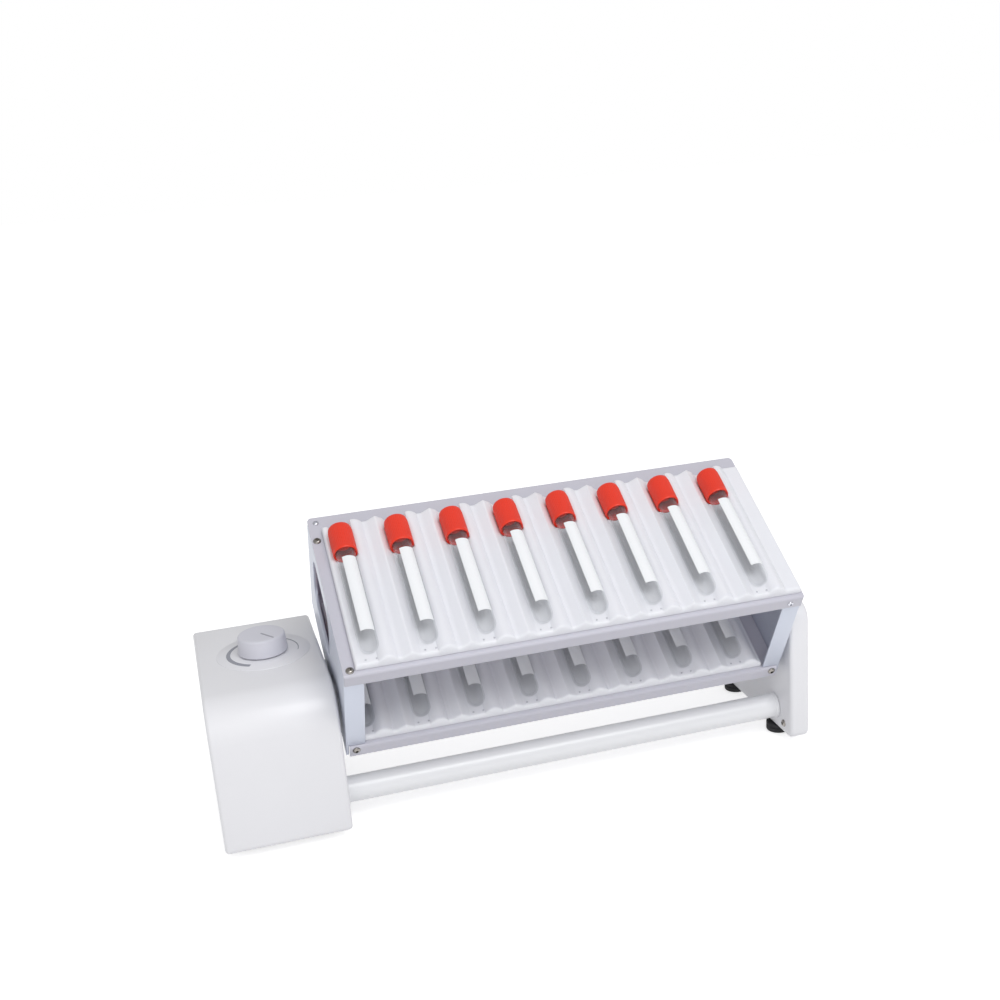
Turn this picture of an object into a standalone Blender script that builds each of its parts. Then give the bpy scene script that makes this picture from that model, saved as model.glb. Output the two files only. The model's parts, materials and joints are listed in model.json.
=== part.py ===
"""Two-tier tube rocker: a motor box and a support plate carry a tilting carriage with capped tubes.

Units are metres, +Z is up, +X runs along the machine from the motor box to the support plate, and
the operator stands on the -Y side. The origin is the middle of the machine's footprint, on the table.
"""

from math import cos, pi, radians, sin

import bmesh
import bpy
from mathutils import Matrix, Vector

# --- Motor box -------------------------------------------------------------------------------
BOX_WIDTH = 0.084
BOX_DEPTH = 0.146
BOX_HEIGHT = 0.104
BOX_WALL = 0.0025
FRONT_ROUND = 0.026  # large rounding from the top to the front face
EDGE_ROUND = 0.004
COVER_THICKNESS = 0.002
FOOT_HEIGHT = 0.007
FOOT_RADIUS = 0.0075
FOOT_INSET_X = 0.016
FOOT_INSET_Y = 0.024
PLATE_FOOT_RADIUS = 0.009
PLATE_FOOT_INSET = 0.034

# --- Frame -----------------------------------------------------------------------------------
GAP = 0.0003  # between pieces that rest on each other
RUNNING = 0.00008  # radial clearance of a shaft in its bush
CARRIAGE_GAP = 0.0025  # between the box and the carriage
PLATE_GAP = 0.005  # between the carriage and the support plate
PLATE_THICKNESS = 0.015
PLATE_ROUND = 0.012
BAR_RADIUS = 0.0095
BAR_FROM_FRONT = 0.0272
BAR_HEIGHT = 0.0169

# --- Carriage, in its own axes: Y from front to back, Z square to the shelves ------------------
TILT = radians(30)
PIVOT_FROM_FRONT = 0.070
PIVOT_BELOW_TOP = 0.017
SHELF_DEPTH = 0.139
SHEET = 0.0015
LIP = 0.0096
UPPER_TOP = 0.084  # top face of the upper shelf above the pivot
LOWER_TOP = 0.0054  # top face of the lower shelf above the pivot
CORNER_ROUND = 0.006
WEB = 0.002
FLANGE = 0.013
LUG_RADIUS = 0.0105
LUG_SHOULDER = 24  # degrees below level where the lug meets the plate
LEDGE_FROM_PIVOT = 0.0144
WINDOW_FRONT = -0.012
WINDOW_BACK = 0.048
WINDOW_BOTTOM = 0.026
WINDOW_TOP = 0.070
WINDOW_ROUND = 0.012

# --- Tubes and mats --------------------------------------------------------------------------
TUBE_COUNT = 8
TUBE_PITCH = 0.038
FIRST_TUBE = 0.0185  # from the carriage's left face
LOWER_TUBE_SHIFT = -0.003
LAST_TUBE = 0.0300  # from the carriage's right face
TUBE_RADIUS = 0.0065
TUBE_WALL = 0.001
TUBE_LENGTH = 0.099
CAP_WALL = 0.0017  # from the tube to the outside of the cap
CAP_LENGTH = 0.023
CAP_TOP = 0.0068  # from the cap's top to the tube's mouth
CAP_PLUG = 0.008
CAP_FROM_BACK = 0.0237
CAP_LIFT = 0.0010  # of the caps above their shelf
MAT_FROM_BACK = 0.0145
MAT_FROM_FRONT = 0.0037  # behind the end plates' front flanges
MAT_LEFT = 0.0080
LOWER_MAT_RIGHT = 0.0140
UPPER_MAT_RIGHT = 0.0015
MAT_BASE = 0.0045
RIDGE_HEIGHT = 0.0040
RIDGES_PER_PITCH = 2
POCKET_CLEARANCE = 0.0003
POCKET_SKIN = 0.0006
MAT_STEPS_PER_PITCH = 14

# --- Drive -----------------------------------------------------------------------------------
SHAFT_RADIUS = 0.004
HUB_RADIUS = 0.009
HUB_THICKNESS = 0.0014
BUSH_RADIUS = 0.008
BUSH_FLANGE_RADIUS = 0.0105
BUSH_FLANGE = 0.002
BUSH_LENGTH = 0.009
GEAR_MODULE = 0.001
SECTOR_TEETH = 60  # on a full circle
SECTOR_SPAN = 15  # teeth that the sector keeps
PINION_TEETH = 12
GEAR_WIDTH = 0.006
GEAR_COLLAR = 0.0024
BACKLASH = 0.00035
TOOTH_RISE = 0.85  # tip above the pitch circle, in modules
TOOTH_DROP = 1.15  # root below the pitch circle, in modules
ROOT_SPREAD = 0.40  # wider than at the pitch circle, each side, in modules
TIP_DRAW = 0.36  # narrower than at the pitch circle, each side, in modules
GEAR_HUB_RADIUS = 0.0088
BRACKET_ABOVE_SHAFT = 0.0088
GEAR_FROM_WALL = 0.012
BRACKET_FROM_WALL = 0.021
BRACKET_THICKNESS = 0.003
BRACKET_WIDTH = 0.044
MOTOR_SHAFT_RADIUS = 0.003
MOTOR_SHAFT_OFFSET = 0.007
GEARBOX_RADIUS = 0.0185
GEARBOX_LENGTH = 0.022
CAN_RADIUS = 0.0175
CAN_LENGTH = 0.026

# --- Control ---------------------------------------------------------------------------------
KNOB_RADIUS = 0.017
KNOB_HEIGHT = 0.014
KNOB_LIFT = 0.0012
KNOB_FROM_LEFT = 0.0455
KNOB_FROM_FRONT = 0.0846
POT_RADIUS = 0.008
POT_HEIGHT = 0.009
POT_SHAFT_RADIUS = 0.003
POT_SHAFT_LENGTH = 0.0105
BOARD_THICKNESS = 0.0016
BOARD_LENGTH = 0.104
BOARD_WIDTH = 0.040
BOARD_FROM_LEFT = 0.008
POST_HEIGHT = 0.005
POST_RADIUS = 0.003
INLET_RADIUS = 0.0055
INLET_FLANGE_RADIUS = 0.0075
INLET_DEPTH = 0.012
INLET_HEIGHT = 0.030
INLET_FROM_LEFT = 0.030
INLET_PROUD = 0.002

# --- Places that follow from the sizes above ---------------------------------------------------
TUBE_BORE = TUBE_RADIUS - TUBE_WALL
CAP_RADIUS = TUBE_RADIUS + CAP_WALL
TUBE_HEIGHT = CAP_RADIUS + CAP_LIFT
CARRIAGE_LENGTH = FIRST_TUBE + (TUBE_COUNT - 1) * TUBE_PITCH + LAST_TUBE
TOTAL_LENGTH = BOX_WIDTH + CARRIAGE_GAP + CARRIAGE_LENGTH + PLATE_GAP + PLATE_THICKNESS
BOX_LEFT = -TOTAL_LENGTH / 2
BOX_RIGHT = BOX_LEFT + BOX_WIDTH
CARRIAGE_LEFT = BOX_RIGHT + CARRIAGE_GAP
CARRIAGE_RIGHT = CARRIAGE_LEFT + CARRIAGE_LENGTH
PLATE_LEFT = CARRIAGE_RIGHT + PLATE_GAP
PLATE_RIGHT = PLATE_LEFT + PLATE_THICKNESS
FRONT_REACH = SHELF_DEPTH / 2 * cos(TILT) + UPPER_TOP * sin(TILT) - PIVOT_FROM_FRONT
BOX_FRONT = (FRONT_REACH - BOX_DEPTH - INLET_PROUD) / 2
BOX_BACK = BOX_FRONT + BOX_DEPTH
BOTTOM = FOOT_HEIGHT
TOP = BOTTOM + BOX_HEIGHT
PIVOT_Y = BOX_FRONT + PIVOT_FROM_FRONT
PIVOT_Z = TOP - PIVOT_BELOW_TOP
GEAR_DISTANCE = GEAR_MODULE * (SECTOR_TEETH + PINION_TEETH) / 2
PINION_Z = PIVOT_Z - GEAR_DISTANCE
MOTOR_Z = PINION_Z - MOTOR_SHAFT_OFFSET
GEAR_RIGHT = BOX_RIGHT - GEAR_FROM_WALL
BRACKET_RIGHT = BOX_RIGHT - BRACKET_FROM_WALL
BRACKET_LEFT = BRACKET_RIGHT - BRACKET_THICKNESS
COVER_TOP = BOTTOM + COVER_THICKNESS
KNOB_X = BOX_LEFT + KNOB_FROM_LEFT
KNOB_Y = BOX_FRONT + KNOB_FROM_FRONT
BAR_Y = BOX_FRONT + BAR_FROM_FRONT
BAR_Z = BOTTOM + BAR_HEIGHT
CAP_END_Y = SHELF_DEPTH / 2 - CAP_FROM_BACK

FINISHES = {
    "white_enamel": ((0.83, 0.83, 0.84), 0.45, 0.0),
    "white_bar": ((0.85, 0.85, 0.86), 0.35, 0.0),
    "shelf_paint": ((0.62, 0.61, 0.69), 0.45, 0.1),
    "endplate_paint": ((0.66, 0.68, 0.76), 0.45, 0.1),
    "mat": ((0.82, 0.82, 0.86), 0.4, 0.0),
    "tube": ((0.86, 0.88, 0.92), 0.1, 0.0),
    "cap": ((0.85, 0.09, 0.03), 0.4, 0.0),
    "knob": ((0.62, 0.62, 0.70), 0.5, 0.0),
    "rubber": ((0.02, 0.02, 0.02), 0.8, 0.0),
    "steel": ((0.55, 0.55, 0.57), 0.3, 1.0),
    "bronze": ((0.50, 0.34, 0.18), 0.4, 1.0),
    "gear": ((0.80, 0.79, 0.74), 0.5, 0.0),
    "motor": ((0.35, 0.35, 0.37), 0.35, 1.0),
    "board": ((0.03, 0.22, 0.10), 0.5, 0.0),
    "black_plastic": ((0.03, 0.03, 0.03), 0.5, 0.0),
}


# --- Blender helpers ---------------------------------------------------------------------------
def clear_scene():
    """Remove whatever the file opened with."""
    for obj in list(bpy.data.objects):
        bpy.data.objects.remove(obj, do_unlink=True)


def new_collection(name):
    collection = bpy.data.collections.new(name)
    bpy.context.scene.collection.children.link(collection)
    return collection


def material(name):
    """One Principled material for each finish."""
    if name in bpy.data.materials:
        return bpy.data.materials[name]
    color, roughness, metallic = FINISHES[name]
    made = bpy.data.materials.new(name)
    made.use_nodes = True
    shader = made.node_tree.nodes["Principled BSDF"]
    shader.inputs["Base Color"].default_value = (*color, 1)
    shader.inputs["Roughness"].default_value = roughness
    shader.inputs["Metallic"].default_value = metallic
    return made


def place(obj, finish, parent=None):
    """Give a new object its material, its parent and the parts' collection."""
    for collection in list(obj.users_collection):
        collection.objects.unlink(obj)
    PARTS.objects.link(obj)
    obj.data.materials.clear()
    obj.data.materials.append(material(finish))
    obj.parent = parent
    return obj


def as_cutter(obj):
    """Move a helper solid to the cutters' collection, where it isn't built."""
    for collection in list(obj.users_collection):
        collection.objects.unlink(obj)
    CUTTERS.objects.link(obj)
    obj.hide_render = True
    obj.display_type = "WIRE"
    return obj


def boolean(obj, other, operation):
    other.parent = obj
    modifier = obj.modifiers.new(operation.lower(), "BOOLEAN")
    modifier.operation = operation
    modifier.solver = "EXACT"
    modifier.object = as_cutter(other)
    return obj


def cut(obj, *cutters):
    for cutter in cutters:
        boolean(obj, cutter, "DIFFERENCE")
    return obj


def join(obj, *others):
    for other in others:
        boolean(obj, other, "UNION")
    return obj


def box(name, low, high):
    """An upright box between two corners."""
    low, high = Vector(low), Vector(high)
    shape = bmesh.new()
    bmesh.ops.create_cube(shape, size=1)
    size = high - low
    bmesh.ops.transform(shape, matrix=Matrix.Diagonal((*size, 1)), verts=shape.verts)
    bmesh.ops.translate(shape, vec=(low + high) / 2, verts=shape.verts)
    return finish_mesh(name, shape)


def finish_mesh(name, shape):
    mesh = bpy.data.meshes.new(name)
    shape.to_mesh(mesh)
    shape.free()
    obj = bpy.data.objects.new(name, mesh)
    bpy.context.scene.collection.objects.link(obj)
    return obj


AXIS_TURN = {"X": Matrix.Rotation(pi / 2, 4, "Y"), "Y": Matrix.Rotation(pi / 2, 4, "X"), "Z": Matrix()}


def rod(name, radius, centre, length, axis="X", segments=32):
    """A round bar with its middle at centre."""
    shape = bmesh.new()
    bmesh.ops.create_cone(
        shape, cap_ends=True, segments=segments, radius1=radius, radius2=radius, depth=length
    )
    bmesh.ops.transform(shape, matrix=AXIS_TURN[axis], verts=shape.verts)
    bmesh.ops.translate(shape, vec=centre, verts=shape.verts)
    obj = finish_mesh(name, shape)
    smooth(obj)
    return obj


def smooth(obj, angle=40):
    obj.data.shade_smooth()
    obj.data.set_sharp_from_angle(angle=radians(angle))


def slab(name, outline, low_x, high_x):
    """A flat outline in Y and Z, extruded along X, made from a filled 2D curve."""
    curve = bpy.data.curves.new(name, "CURVE")
    curve.dimensions = "2D"
    curve.fill_mode = "BOTH"
    curve.extrude = (high_x - low_x) / 2
    spline = curve.splines.new("POLY")
    spline.points.add(len(outline) - 1)
    for point, (y, z) in zip(spline.points, outline):
        point.co = (y, z, 0, 1)
    spline.use_cyclic_u = True
    flat = bpy.data.objects.new(name, curve)
    bpy.context.scene.collection.objects.link(flat)
    bpy.context.view_layer.update()
    mesh = bpy.data.meshes.new_from_object(flat.evaluated_get(bpy.context.evaluated_depsgraph_get()))
    bpy.data.objects.remove(flat)
    bpy.data.curves.remove(curve)
    mesh.name = name
    upright = Matrix.Rotation(pi / 2, 4, "Z") @ Matrix.Rotation(pi / 2, 4, "X")
    mesh.transform(Matrix.Translation(((low_x + high_x) / 2, 0, 0)) @ upright)
    weld(mesh)
    obj = bpy.data.objects.new(name, mesh)
    bpy.context.scene.collection.objects.link(obj)
    return obj


def weld(mesh):
    shape = bmesh.new()
    shape.from_mesh(mesh)
    bmesh.ops.remove_doubles(shape, verts=shape.verts, dist=0.00001)
    bmesh.ops.recalc_face_normals(shape, faces=shape.faces)
    shape.to_mesh(mesh)
    shape.free()


def turned(name, profile, steps=16):
    """A solid of revolution about Z from (radius, height) points that run down its outer side."""
    mesh = bpy.data.meshes.new(name)
    points = [(radius, 0, height) for radius, height in profile]
    mesh.from_pydata(points, [(i, i + 1) for i in range(len(points) - 1)], [])
    obj = bpy.data.objects.new(name, mesh)
    bpy.context.scene.collection.objects.link(obj)
    screw = obj.modifiers.new("turn", "SCREW")
    screw.steps = steps
    screw.render_steps = steps
    screw.use_merge_vertices = True
    screw.merge_threshold = 0.00005
    return obj


def arc(centre_y, centre_z, radius, start, end, steps):
    """Points of an arc between two angles, in degrees."""
    angles = [radians(start + (end - start) * i / steps) for i in range(steps + 1)]
    return [(centre_y + radius * cos(a), centre_z + radius * sin(a)) for a in angles]


def rounded(front, back, bottom, top, rounds, steps=4):
    """A rectangle's outline with rounds for front-bottom, back-bottom, back-top and front-top."""
    front_bottom, back_bottom, back_top, front_top = rounds
    return (
        arc(front + front_bottom, bottom + front_bottom, front_bottom, 180, 270, steps)
        + arc(back - back_bottom, bottom + back_bottom, back_bottom, 270, 360, steps)
        + arc(back - back_top, top - back_top, back_top, 0, 90, steps)
        + arc(front + front_top, top - front_top, front_top, 90, 180, max(steps, round(front_top * 400)))
    )


# --- Frame -------------------------------------------------------------------------------------
def side_outline(inset, bottom, small_round):
    """The side view that the motor box and its inside share."""
    front = BOX_FRONT + inset
    back = BOX_BACK - inset
    rounds = (small_round, small_round, small_round, FRONT_ROUND - inset)
    return rounded(front, back, bottom, TOP - inset, rounds)


def motor_housing():
    shell = slab("motor_housing", side_outline(0, BOTTOM, EDGE_ROUND), BOX_LEFT, BOX_RIGHT)
    inner_bottom = BOTTOM - 2 * EDGE_ROUND
    inside = slab(
        "box_inside",
        side_outline(BOX_WALL, inner_bottom, EDGE_ROUND - BOX_WALL),
        BOX_LEFT + BOX_WALL,
        BOX_RIGHT - BOX_WALL,
    )
    bore_x = BOX_RIGHT - BOX_WALL
    shaft_bore = rod("shaft_bore", BUSH_RADIUS + GAP, (bore_x, PIVOT_Y, PIVOT_Z), 4 * BOX_WALL)
    pot_bore = rod("pot_bore", POT_SHAFT_RADIUS + GAP, (KNOB_X, KNOB_Y, TOP), 4 * BOX_WALL, "Z", 16)
    inlet_x = BOX_LEFT + INLET_FROM_LEFT
    inlet_bore = rod(
        "inlet_bore", INLET_RADIUS + GAP, (inlet_x, BOX_BACK, BOTTOM + INLET_HEIGHT), 4 * BOX_WALL, "Y", 24
    )
    cut(shell, inside, shaft_bore, pot_bore, inlet_bore)
    return place(shell, "white_enamel")


def foot_places():
    """Centres of the four feet under the box."""
    xs = (BOX_LEFT + FOOT_INSET_X, BOX_RIGHT - FOOT_INSET_X)
    ys = (BOX_FRONT + FOOT_INSET_Y, BOX_BACK - FOOT_INSET_Y)
    return [(x, y) for y in ys for x in xs]


def board_posts():
    """Corners where the board stands on the cover."""
    low_x = BOX_LEFT + BOARD_FROM_LEFT + POST_RADIUS
    high_x = BOX_LEFT + BOARD_FROM_LEFT + BOARD_WIDTH - POST_RADIUS
    middle_y = (BOX_FRONT + BOX_BACK) / 2
    reach = BOARD_LENGTH / 2 - POST_RADIUS
    return [(x, middle_y + side * reach) for x in (low_x, high_x) for side in (-1, 1)]


def base_cover():
    inset = BOX_WALL + GAP
    low = (BOX_LEFT + inset, BOX_FRONT + inset, BOTTOM)
    high = (BOX_RIGHT - inset, BOX_BACK - inset, COVER_TOP)
    cover = box("base_cover", low, high)
    for index, (x, y) in enumerate(board_posts()):
        middle = (x, y, COVER_TOP + POST_HEIGHT / 2 - COVER_THICKNESS / 4)
        join(cover, rod(f"post_{index}", POST_RADIUS, middle, POST_HEIGHT + COVER_THICKNESS / 2, "Z", 12))
    return place(cover, "white_enamel")


def foot(name, x, y, radius):
    """A rubber foot with a chamfered rim, from the table up to its seat."""
    top = BOTTOM - GAP
    chamfer = radius / 5
    profile = [
        (0, top),
        (radius, top),
        (radius, chamfer),
        (radius - chamfer, 0),
        (0, 0),
    ]
    pad = turned(name, profile, 20)
    pad.location = (x, y, 0)
    return place(pad, "rubber")


def support_plate():
    """A thick plate with the box's side view and a blind seat for the axle's bush."""
    rounds = (PLATE_ROUND / 2, PLATE_ROUND / 2, PLATE_ROUND, PLATE_ROUND)
    outline = rounded(BOX_FRONT, BOX_BACK, BOTTOM, TOP, rounds, 6)
    plate = slab("support_plate", outline, PLATE_LEFT, PLATE_RIGHT)
    seat = rod("bush_seat", BUSH_RADIUS + GAP, (PLATE_LEFT, PIVOT_Y, PIVOT_Z), 2 * (BUSH_LENGTH + GAP))
    return place(cut(plate, seat), "white_enamel")


def crossbar():
    length = PLATE_LEFT - BOX_RIGHT - 2 * GAP
    middle = ((PLATE_LEFT + BOX_RIGHT) / 2, BAR_Y, BAR_Z)
    return place(rod("crossbar", BAR_RADIUS, middle, length, "X", 40), "white_bar")


def bush(name, barrel_left, rim_right):
    """A flanged plain bearing: a barrel, and a rim that ends at the face it lies against."""
    middle = barrel_left + BUSH_LENGTH / 2
    barrel = rod(name, BUSH_RADIUS, (middle, PIVOT_Y, PIVOT_Z), BUSH_LENGTH)
    rim_middle = rim_right - BUSH_FLANGE / 2
    rim = rod(name + "_rim", BUSH_FLANGE_RADIUS, (rim_middle, PIVOT_Y, PIVOT_Z), BUSH_FLANGE)
    bore = rod(name + "_bore", SHAFT_RADIUS + RUNNING, (middle, PIVOT_Y, PIVOT_Z), 3 * BUSH_LENGTH)
    join(barrel, rim)
    return place(cut(barrel, bore), "bronze")


# --- Drive -------------------------------------------------------------------------------------
def tooth_outline(teeth, first, count, centre_angle):
    """Straight-sided teeth from root to tip; angles in radians, teeth spaced about centre_angle."""
    pitch_radius = GEAR_MODULE * teeth / 2
    tip = pitch_radius + TOOTH_RISE * GEAR_MODULE
    root = pitch_radius - TOOTH_DROP * GEAR_MODULE
    step = 2 * pi / teeth
    half_pitch = (pi * GEAR_MODULE / 2 - BACKLASH) / 2
    half_root = (half_pitch + ROOT_SPREAD * GEAR_MODULE) / root
    half_tip = (half_pitch - TIP_DRAW * GEAR_MODULE) / tip
    points = []
    for index in range(first, first + count):
        middle = centre_angle + index * step
        for radius, turn in ((root, -half_root), (tip, -half_tip), (tip, half_tip), (root, half_root)):
            points.append((radius * cos(middle + turn), radius * sin(middle + turn)))
    return points


def motor_pinion():
    """The pinion; a gap between two teeth looks up at the shaft."""
    step = 2 * pi / PINION_TEETH
    teeth = tooth_outline(PINION_TEETH, 0, PINION_TEETH, pi / 2 + step / 2)
    gear = slab("motor_pinion", teeth, GEAR_RIGHT - GEAR_WIDTH, GEAR_RIGHT)
    bore = rod("pinion_bore", MOTOR_SHAFT_RADIUS + RUNNING, (GEAR_RIGHT, 0, 0), 4 * GEAR_WIDTH, "X", 20)
    PINION_AXIS.location = (0, PIVOT_Y, PINION_Z)
    return place(cut(gear, bore), "steel", PINION_AXIS)


def sector_gear():
    """A toothed sector on the drive shaft, in the carriage's own axes."""
    low_x, high_x = GEAR_RIGHT - GEAR_WIDTH, GEAR_RIGHT
    half = SECTOR_SPAN // 2
    teeth = tooth_outline(SECTOR_TEETH, -half, SECTOR_SPAN, -pi / 2)
    outline = arc(0, 0, GEAR_HUB_RADIUS, 10, 170, 12) + teeth
    gear = slab("sector_gear", outline, low_x, high_x)
    collar = rod("gear_collar", GEAR_HUB_RADIUS, (low_x, 0, 0), 2 * GEAR_COLLAR)
    bore = rod("gear_bore", SHAFT_RADIUS + GAP / 2, (low_x, 0, 0), 6 * GEAR_WIDTH)
    join(gear, collar)
    return place(cut(gear, bore), "gear", CARRIAGE_AXIS)


def drive_shaft():
    """The shaft from the bracket to a flange against the left end plate."""
    left = BRACKET_LEFT
    hub_right = CARRIAGE_LEFT - GAP
    hub_left = hub_right - HUB_THICKNESS
    shaft = rod("drive_shaft", SHAFT_RADIUS, ((left + hub_right) / 2, 0, 0), hub_right - left)
    hub = rod("shaft_flange", HUB_RADIUS, ((hub_left + hub_right) / 2 - GAP / 3, 0, 0), HUB_THICKNESS)
    return place(join(shaft, hub), "steel", CARRIAGE_AXIS)


def stub_axle():
    """The short axle that the plate's bush carries."""
    left = CARRIAGE_RIGHT + GAP
    right = PLATE_LEFT + BUSH_LENGTH - GAP
    axle = rod("stub_axle", SHAFT_RADIUS, ((left + right) / 2, 0, 0), right - left)
    hub = rod("axle_flange", HUB_RADIUS, (left + HUB_THICKNESS / 2 + GAP / 3, 0, 0), HUB_THICKNESS)
    return place(join(axle, hub), "steel", CARRIAGE_AXIS)


def motor_bracket():
    """An upright that holds the gear motor and the inner end of the shaft, with a foot flange."""
    half = BRACKET_WIDTH / 2
    bottom = COVER_TOP + GAP
    top = PIVOT_Z + BRACKET_ABOVE_SHAFT
    rounds = (EDGE_ROUND,) * 2 + (SHAFT_RADIUS * 2,) * 2
    outline = rounded(PIVOT_Y - half, PIVOT_Y + half, bottom, top, rounds)
    upright = slab("motor_bracket", outline, BRACKET_LEFT, BRACKET_RIGHT)
    toe = box(
        "bracket_toe",
        (BRACKET_LEFT + BRACKET_THICKNESS / 3, PIVOT_Y - half + EDGE_ROUND, bottom),
        (BRACKET_RIGHT + GEAR_WIDTH, PIVOT_Y + half - EDGE_ROUND, bottom + BRACKET_THICKNESS),
    )
    middle_x = (BRACKET_LEFT + BRACKET_RIGHT) / 2
    through = 4 * BRACKET_THICKNESS
    shaft_hole = rod("bracket_shaft_hole", SHAFT_RADIUS + RUNNING, (middle_x, PIVOT_Y, PIVOT_Z), through)
    motor_hole = rod("bracket_motor_hole", MOTOR_SHAFT_RADIUS * 2, (middle_x, PIVOT_Y, PINION_Z), through)
    join(upright, toe)
    return place(cut(upright, shaft_hole, motor_hole), "steel")


def gear_motor():
    """Gearbox and motor can in line, with the output shaft above their axis."""
    gearbox_right = BRACKET_LEFT - GAP
    gearbox_left = gearbox_right - GEARBOX_LENGTH
    can_left = gearbox_left - CAN_LENGTH
    overlap = BRACKET_THICKNESS
    body = rod(
        "gear_motor", GEARBOX_RADIUS, ((gearbox_left + gearbox_right) / 2, PIVOT_Y, MOTOR_Z), GEARBOX_LENGTH
    )
    can_middle = (can_left + gearbox_left + overlap) / 2
    can = rod("motor_can", CAN_RADIUS, (can_middle, PIVOT_Y, MOTOR_Z), CAN_LENGTH + overlap)
    shaft_left = gearbox_right - overlap
    shaft = rod(
        "output_shaft",
        MOTOR_SHAFT_RADIUS,
        ((shaft_left + GEAR_RIGHT) / 2, PIVOT_Y, PINION_Z),
        GEAR_RIGHT - shaft_left,
        "X",
        20,
    )
    return place(join(body, can, shaft), "motor")


# --- Control -----------------------------------------------------------------------------------
def potentiometer():
    top = TOP - BOX_WALL - GAP
    profile = [
        (0, top + POT_SHAFT_LENGTH),
        (POT_SHAFT_RADIUS, top + POT_SHAFT_LENGTH),
        (POT_SHAFT_RADIUS, top),
        (POT_RADIUS, top),
        (POT_RADIUS, top - POT_HEIGHT),
        (0, top - POT_HEIGHT),
    ]
    pot = turned("potentiometer", profile, 20)
    pot.location = (KNOB_X, KNOB_Y, 0)
    return place(pot, "steel")


def speed_knob():
    """A cap-shaped knob with a blind bore over the potentiometer's shaft."""
    low = TOP + KNOB_LIFT
    high = TOP + KNOB_HEIGHT
    rim = KNOB_RADIUS / 14
    bore = POT_SHAFT_RADIUS + GAP
    bore_top = TOP - BOX_WALL + POT_SHAFT_LENGTH
    profile = [
        (0, high),
        (KNOB_RADIUS - 2 * rim, high),
        (KNOB_RADIUS - rim, high - rim),
        (KNOB_RADIUS, low),
        (bore, low),
        (bore, bore_top),
        (0, bore_top),
    ]
    knob = turned("speed_knob", [(radius, height - TOP) for radius, height in profile], 40)
    KNOB_AXIS.location = (KNOB_X, KNOB_Y, TOP)
    return place(knob, "knob", KNOB_AXIS)


def circuit_board():
    """The speed control's board on the cover's posts."""
    middle_y = (BOX_FRONT + BOX_BACK) / 2
    low_x = BOX_LEFT + BOARD_FROM_LEFT
    low_z = COVER_TOP + POST_HEIGHT + GAP
    board = box(
        "circuit_board",
        (low_x, middle_y - BOARD_LENGTH / 2, low_z),
        (low_x + BOARD_WIDTH, middle_y + BOARD_LENGTH / 2, low_z + BOARD_THICKNESS),
    )
    return place(board, "board")


def power_inlet():
    """A round low-voltage socket through the back wall."""
    outer = BOX_BACK + INLET_PROUD
    seat = BOX_BACK + GAP
    inner = BOX_BACK - INLET_DEPTH
    hole = INLET_RADIUS * 0.55
    profile = [
        (hole, outer),
        (INLET_FLANGE_RADIUS - INLET_PROUD / 4, outer),
        (INLET_FLANGE_RADIUS, outer - INLET_PROUD / 4),
        (INLET_FLANGE_RADIUS, seat),
        (INLET_RADIUS, seat),
        (INLET_RADIUS, inner),
        (0, inner),
        (0, inner + BOX_WALL),
        (hole, inner + BOX_WALL),
        (hole, outer),
    ]
    socket = turned("power_inlet", [(radius, along - BOX_BACK) for radius, along in profile], 24)
    socket.rotation_euler = (-pi / 2, 0, 0)
    socket.location = (BOX_LEFT + INLET_FROM_LEFT, BOX_BACK, BOTTOM + INLET_HEIGHT)
    return place(socket, "black_plastic")


# --- Carriage ----------------------------------------------------------------------------------
def shelf(name, top, low_x, high_x):
    """A sheet tray with a lip down its front and back edges."""
    half = SHELF_DEPTH / 2
    outline = [
        (-half, top),
        (-half, top - LIP),
        (-half + SHEET, top - LIP),
        (-half + SHEET, top - SHEET),
        (half - SHEET, top - SHEET),
        (half - SHEET, top - LIP),
        (half, top - LIP),
        (half, top),
    ]
    return place(slab(name, outline, low_x, high_x), "shelf_paint", CARRIAGE_AXIS)


def end_plate(name, outer_x, inward):
    """A sheet pressing: a web with a lug for the axle, and flanges that hold the shelves."""
    half = SHELF_DEPTH / 2 - SHEET - GAP
    top = UPPER_TOP - SHEET - GAP
    bottom = LOWER_TOP - LIP
    lug = arc(0, 0, LUG_RADIUS, 180 + LUG_SHOULDER, 360 - LUG_SHOULDER, 12)
    web_outline = (
        [(-half, bottom)] + lug + [(half, bottom)]
        + arc(half - CORNER_ROUND, top - CORNER_ROUND, CORNER_ROUND, 0, 90, 4)
        + [(-half, top)]
    )
    low_x, high_x = sorted((outer_x, outer_x + inward * WEB))
    plate = slab(name, web_outline, low_x, high_x)
    flange_low, flange_high = sorted((outer_x + inward * WEB / 3, outer_x + inward * FLANGE))
    front = box(
        name + "_front",
        (flange_low, -half, LOWER_TOP + GAP),
        (flange_high, -half + SHEET, top),
    )
    back = box(
        name + "_back",
        (flange_low, half - SHEET, LOWER_TOP + GAP),
        (flange_high, half, top - CORNER_ROUND),
    )
    upper = box(
        name + "_upper",
        (flange_low, -half, top - SHEET),
        (flange_high, half - CORNER_ROUND, top),
    )
    lower_top = LOWER_TOP - SHEET - GAP
    ledges = [
        box(
            f"{name}_lower_{index}",
            (flange_low, min(side * LEDGE_FROM_PIVOT, side * (half - 2 * SHEET)), lower_top - SHEET),
            (flange_high, max(side * LEDGE_FROM_PIVOT, side * (half - 2 * SHEET)), lower_top),
        )
        for index, side in enumerate((-1, 1))
    ]
    join(plate, front, back, upper, *ledges)
    window = slab(
        name + "_window",
        rounded(WINDOW_FRONT, WINDOW_BACK, WINDOW_BOTTOM, WINDOW_TOP, (WINDOW_ROUND,) * 4),
        low_x - WEB,
        high_x + WEB / 2,
    )
    return place(cut(plate, window), "endplate_paint", CARRIAGE_AXIS)


def tube_x(index, shift):
    return CARRIAGE_LEFT + FIRST_TUBE + shift + index * TUBE_PITCH


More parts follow.
